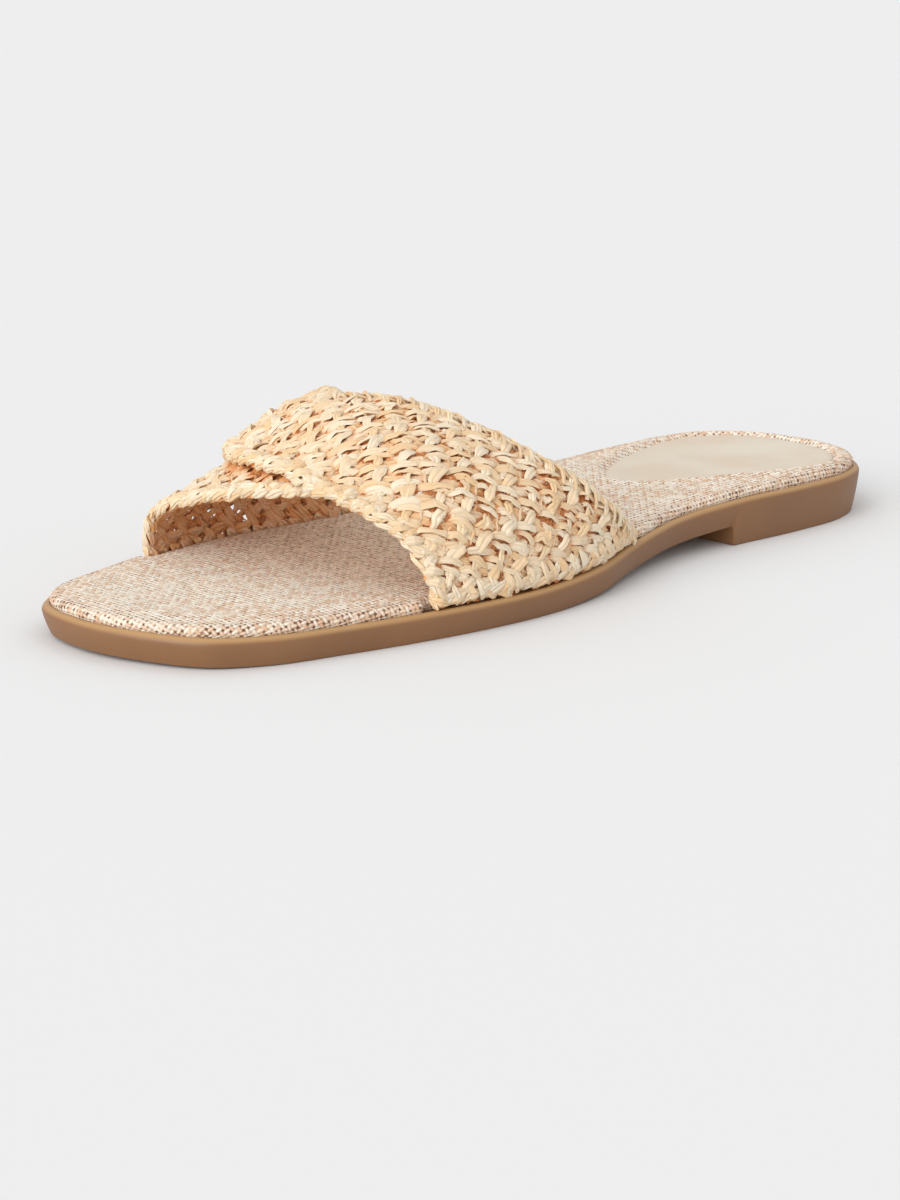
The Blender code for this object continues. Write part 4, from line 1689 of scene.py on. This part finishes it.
# %% Run along the edges
EDGE_SAMPLES = 260
EDGE_SETBACK = 0.7


def path_on_band(band, stations, turns, towards):
    """Points, outward and sideways directions along a line on a band."""
    points, facing = on_chart(stations, turns)
    points = points + facing * band_lift(band, turns)[:, None]
    along = unit(np.gradient(points, axis=0))
    sideways = unit(np.cross(along, facing))
    sideways = sideways * np.sign((sideways @ np.array(towards)).sum())
    return points, facing, sideways


def edge_path(band, side):
    turns = np.linspace(band.edges[0].turn, band.edges[-1].turn, EDGE_SAMPLES)
    sign = 1.0 if side == "front" else -1.0
    stations = band_edge(band, side, turns) - sign * EDGE_SETBACK
    return path_on_band(band, stations, turns, (sign, 0.0, 0.0))


def foot_path(band, turn, towards):
    rear = float(band_edge(band, "rear", turn)) + EDGE_SETBACK
    front = float(band_edge(band, "front", turn)) - EDGE_SETBACK
    stations = np.linspace(rear, front, EDGE_SAMPLES)
    return path_on_band(band, stations, np.full(EDGE_SAMPLES, turn), towards)


front_run = run_length(edge_path(UPPER_BAND, "front")[0])[-1]
print("the upper band's front edge is", round(float(front_run)), "mm long")

# %% Lay the links of a binding
LINK_STEPS = 11
LINK_SHIFTS = (1.2, 0.8, 0.4)
FACE_DEPTH = 0.85
LINK_PAINTED_DEPTH = 0.8


def read_along(run, values, at):
    return np.stack([np.interp(at, run, values[:, axis]) for axis in range(3)], axis=-1)


def bind(path, legs, pitch, draws):
    """Links of binding along a path."""
    points, facing, sideways = path
    run = run_length(points)
    count = max(int(run[-1] / pitch), 1)
    centres = (np.arange(count) + 0.5) * run[-1] / count
    groups = []
    for leg in legs:
        local = crooked_path(np.array(leg.knots), LINK_STEPS)
        local = local + draws.normal(0.0, UNEVEN.shift, (count, 1, 3)) * LINK_SHIFTS
        at = held_inside(centres[:, None] + local[..., 0], 0.0, run[-1])
        out = unit(read_along(run, facing, at))
        side = unit(read_along(run, sideways, at))
        where = read_along(run, points, at) + side * local[..., 1:2] + out * local[..., 2:]
        lean = leg.lean + draws.normal(0.0, UNEVEN.roll, count)[:, None, None]
        looks = out * np.cos(lean) + side * np.sin(lean)
        half = leaf_width(leg.width * (1 + draws.normal(0.0, UNEVEN.width, count)), LINK_STEPS, draws)
        tone = ribbon_tones(draws, count)
        roll = uneven_along(draws, count, LINK_STEPS, UNEVEN.twist)
        solids = ribbon_solids(where, looks, half, roll, tone, draws)
        # painted amber and shade: parts of a link that dive in below the face count deeper
        solids["depth"] = FACE_DEPTH + LINK_PAINTED_DEPTH * local[..., 2][:, :, None] + solids["height"]
        groups.append(solids)
    return groups


print("a link is laid in", LINK_STEPS, "steps")

# %% Bind the edges
EDGING_SEED = 40
FOOT_LINE = 0.008
DOWN = (0.0, 0.0, -1.0)
OUTWARD = (0.0, 1.0, -0.3)


def bind_edges(band):
    draws = np.random.default_rng(band.seed + EDGING_SEED)
    start = band.edges[0].turn
    links = bind(edge_path(band, "front"), LINK, LINK_PITCH, draws)
    links += bind(edge_path(band, "rear"), LINK, LINK_PITCH, draws)
    links += bind(foot_path(band, 1.0 - FOOT_LINE, DOWN), HEM, HEM_PITCH, draws)
    if start == 0.0:
        links += bind(foot_path(band, FOOT_LINE, DOWN), HEM, HEM_PITCH, draws)
    else:
        links += bind(foot_path(band, start, OUTWARD), LINK, LINK_PITCH, draws)
    return join_ribbons(band.name + "_edging", links)


upper_edging = bind_edges(UPPER_BAND)
lower_edging = bind_edges(LOWER_BAND)

# %% [markdown]
# ## Raffia
# Paper raffia is a pale straw colour with fine lines along the ribbon and a satin shine. Light that gets
# between the ribbons bounces from straw to straw and comes back a deep amber, more than a render's few
# bounces give, so that light is painted in: the colour deepens with the distance below the face, to a
# painted amber and at last to a painted shaded brown. Fine lines run along the ribbon's own map.

# %% Finish the raffia
RAFFIA_PALE = srgb(231, 214, 188)
RAFFIA_STRAW = srgb(225, 191, 147)
RAFFIA_PAINTED_AMBER = srgb(226, 154, 90)
RAFFIA_PAINTED_SHADE = srgb(186, 118, 68)
PAINTED_AMBER_DEPTH = -0.35
PAINTED_SHADE_DEPTH = -0.8
LINE_STRETCH = (0.16, 3.4, 1.0)
LINE_SHARE = 0.55
MOTTLE_SCALE = 0.35
MOTTLE_SHARE = 0.4
STRAW_SPAN = (0.55, 1.45)
RAFFIA_ROUGHNESS = (0.36, 0.56)
RAFFIA_BUMP = (0.5, 0.25 * MM)
SOAK_WEIGHT = 0.2
SOAK_COLOURS = (1.0, 0.7, 0.4)
SOAK_DEPTH = 0.8 * MM


def make_raffia():
    finish, tree, shader = new_finish("paper_raffia")
    ribbon = add_node(tree, "UVMap", {"uv_map": "ribbon"}).outputs["UV"]
    depth = stored_value(tree, "depth")
    stretched = vector_calculate(tree, "MULTIPLY", ribbon, LINE_STRETCH)
    lines = flat_noise(tree, stretched, 1.0, detail=3.0)
    mottle = flat_noise(tree, ribbon, MOTTLE_SCALE, detail=2.0)
    share = plus(tree, times(tree, lines, LINE_SHARE), stored_value(tree, "tone"))
    share = plus(tree, share, times(tree, mottle, MOTTLE_SHARE))
    colour = mix_colours(tree, remap(tree, share, *STRAW_SPAN), RAFFIA_PALE, RAFFIA_STRAW)
    # painted bounce light and painted shade: the deeper below the face, the more amber, then the more
    # brown
    colour = mix_colours(tree, remap(tree, depth, FACE_DEPTH, PAINTED_AMBER_DEPTH), colour, RAFFIA_PAINTED_AMBER)
    colour = mix_colours(tree, remap(tree, depth, 0.0, PAINTED_SHADE_DEPTH), colour, RAFFIA_PAINTED_SHADE)
    feed(tree, shader.inputs["Base Color"], colour)
    feed(tree, shader.inputs["Roughness"], remap(tree, lines, *NOISE_SPAN, *RAFFIA_ROUGHNESS))
    shader.inputs["Subsurface Weight"].default_value = SOAK_WEIGHT
    shader.inputs["Subsurface Radius"].default_value = SOAK_COLOURS
    shader.inputs["Subsurface Scale"].default_value = SOAK_DEPTH
    add_bump(tree, shader, lines, *RAFFIA_BUMP)
    return finish


RAFFIA = make_raffia()
for piece in (upper_face, upper_inside, lower_face, lower_inside, upper_edging, lower_edging):
    piece.data.materials.append(RAFFIA)
print("raffia on both bands and their edging")

# %% [markdown]
# ## Measure and finish
# The finished shoe has to keep the size of the frame. How far it has grown past the frame's box is
# printed, on the low and on the high sides.

# %% Write the sizes
seen_low, seen_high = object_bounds()
grown_low = [round(x / MM, 2) for x in cad_low - seen_low]
grown_high = [round(x / MM, 2) for x in seen_high - cad_high]
print("grown past the frame, in mm", grown_low, "on its low sides and", grown_high, "on its high sides")
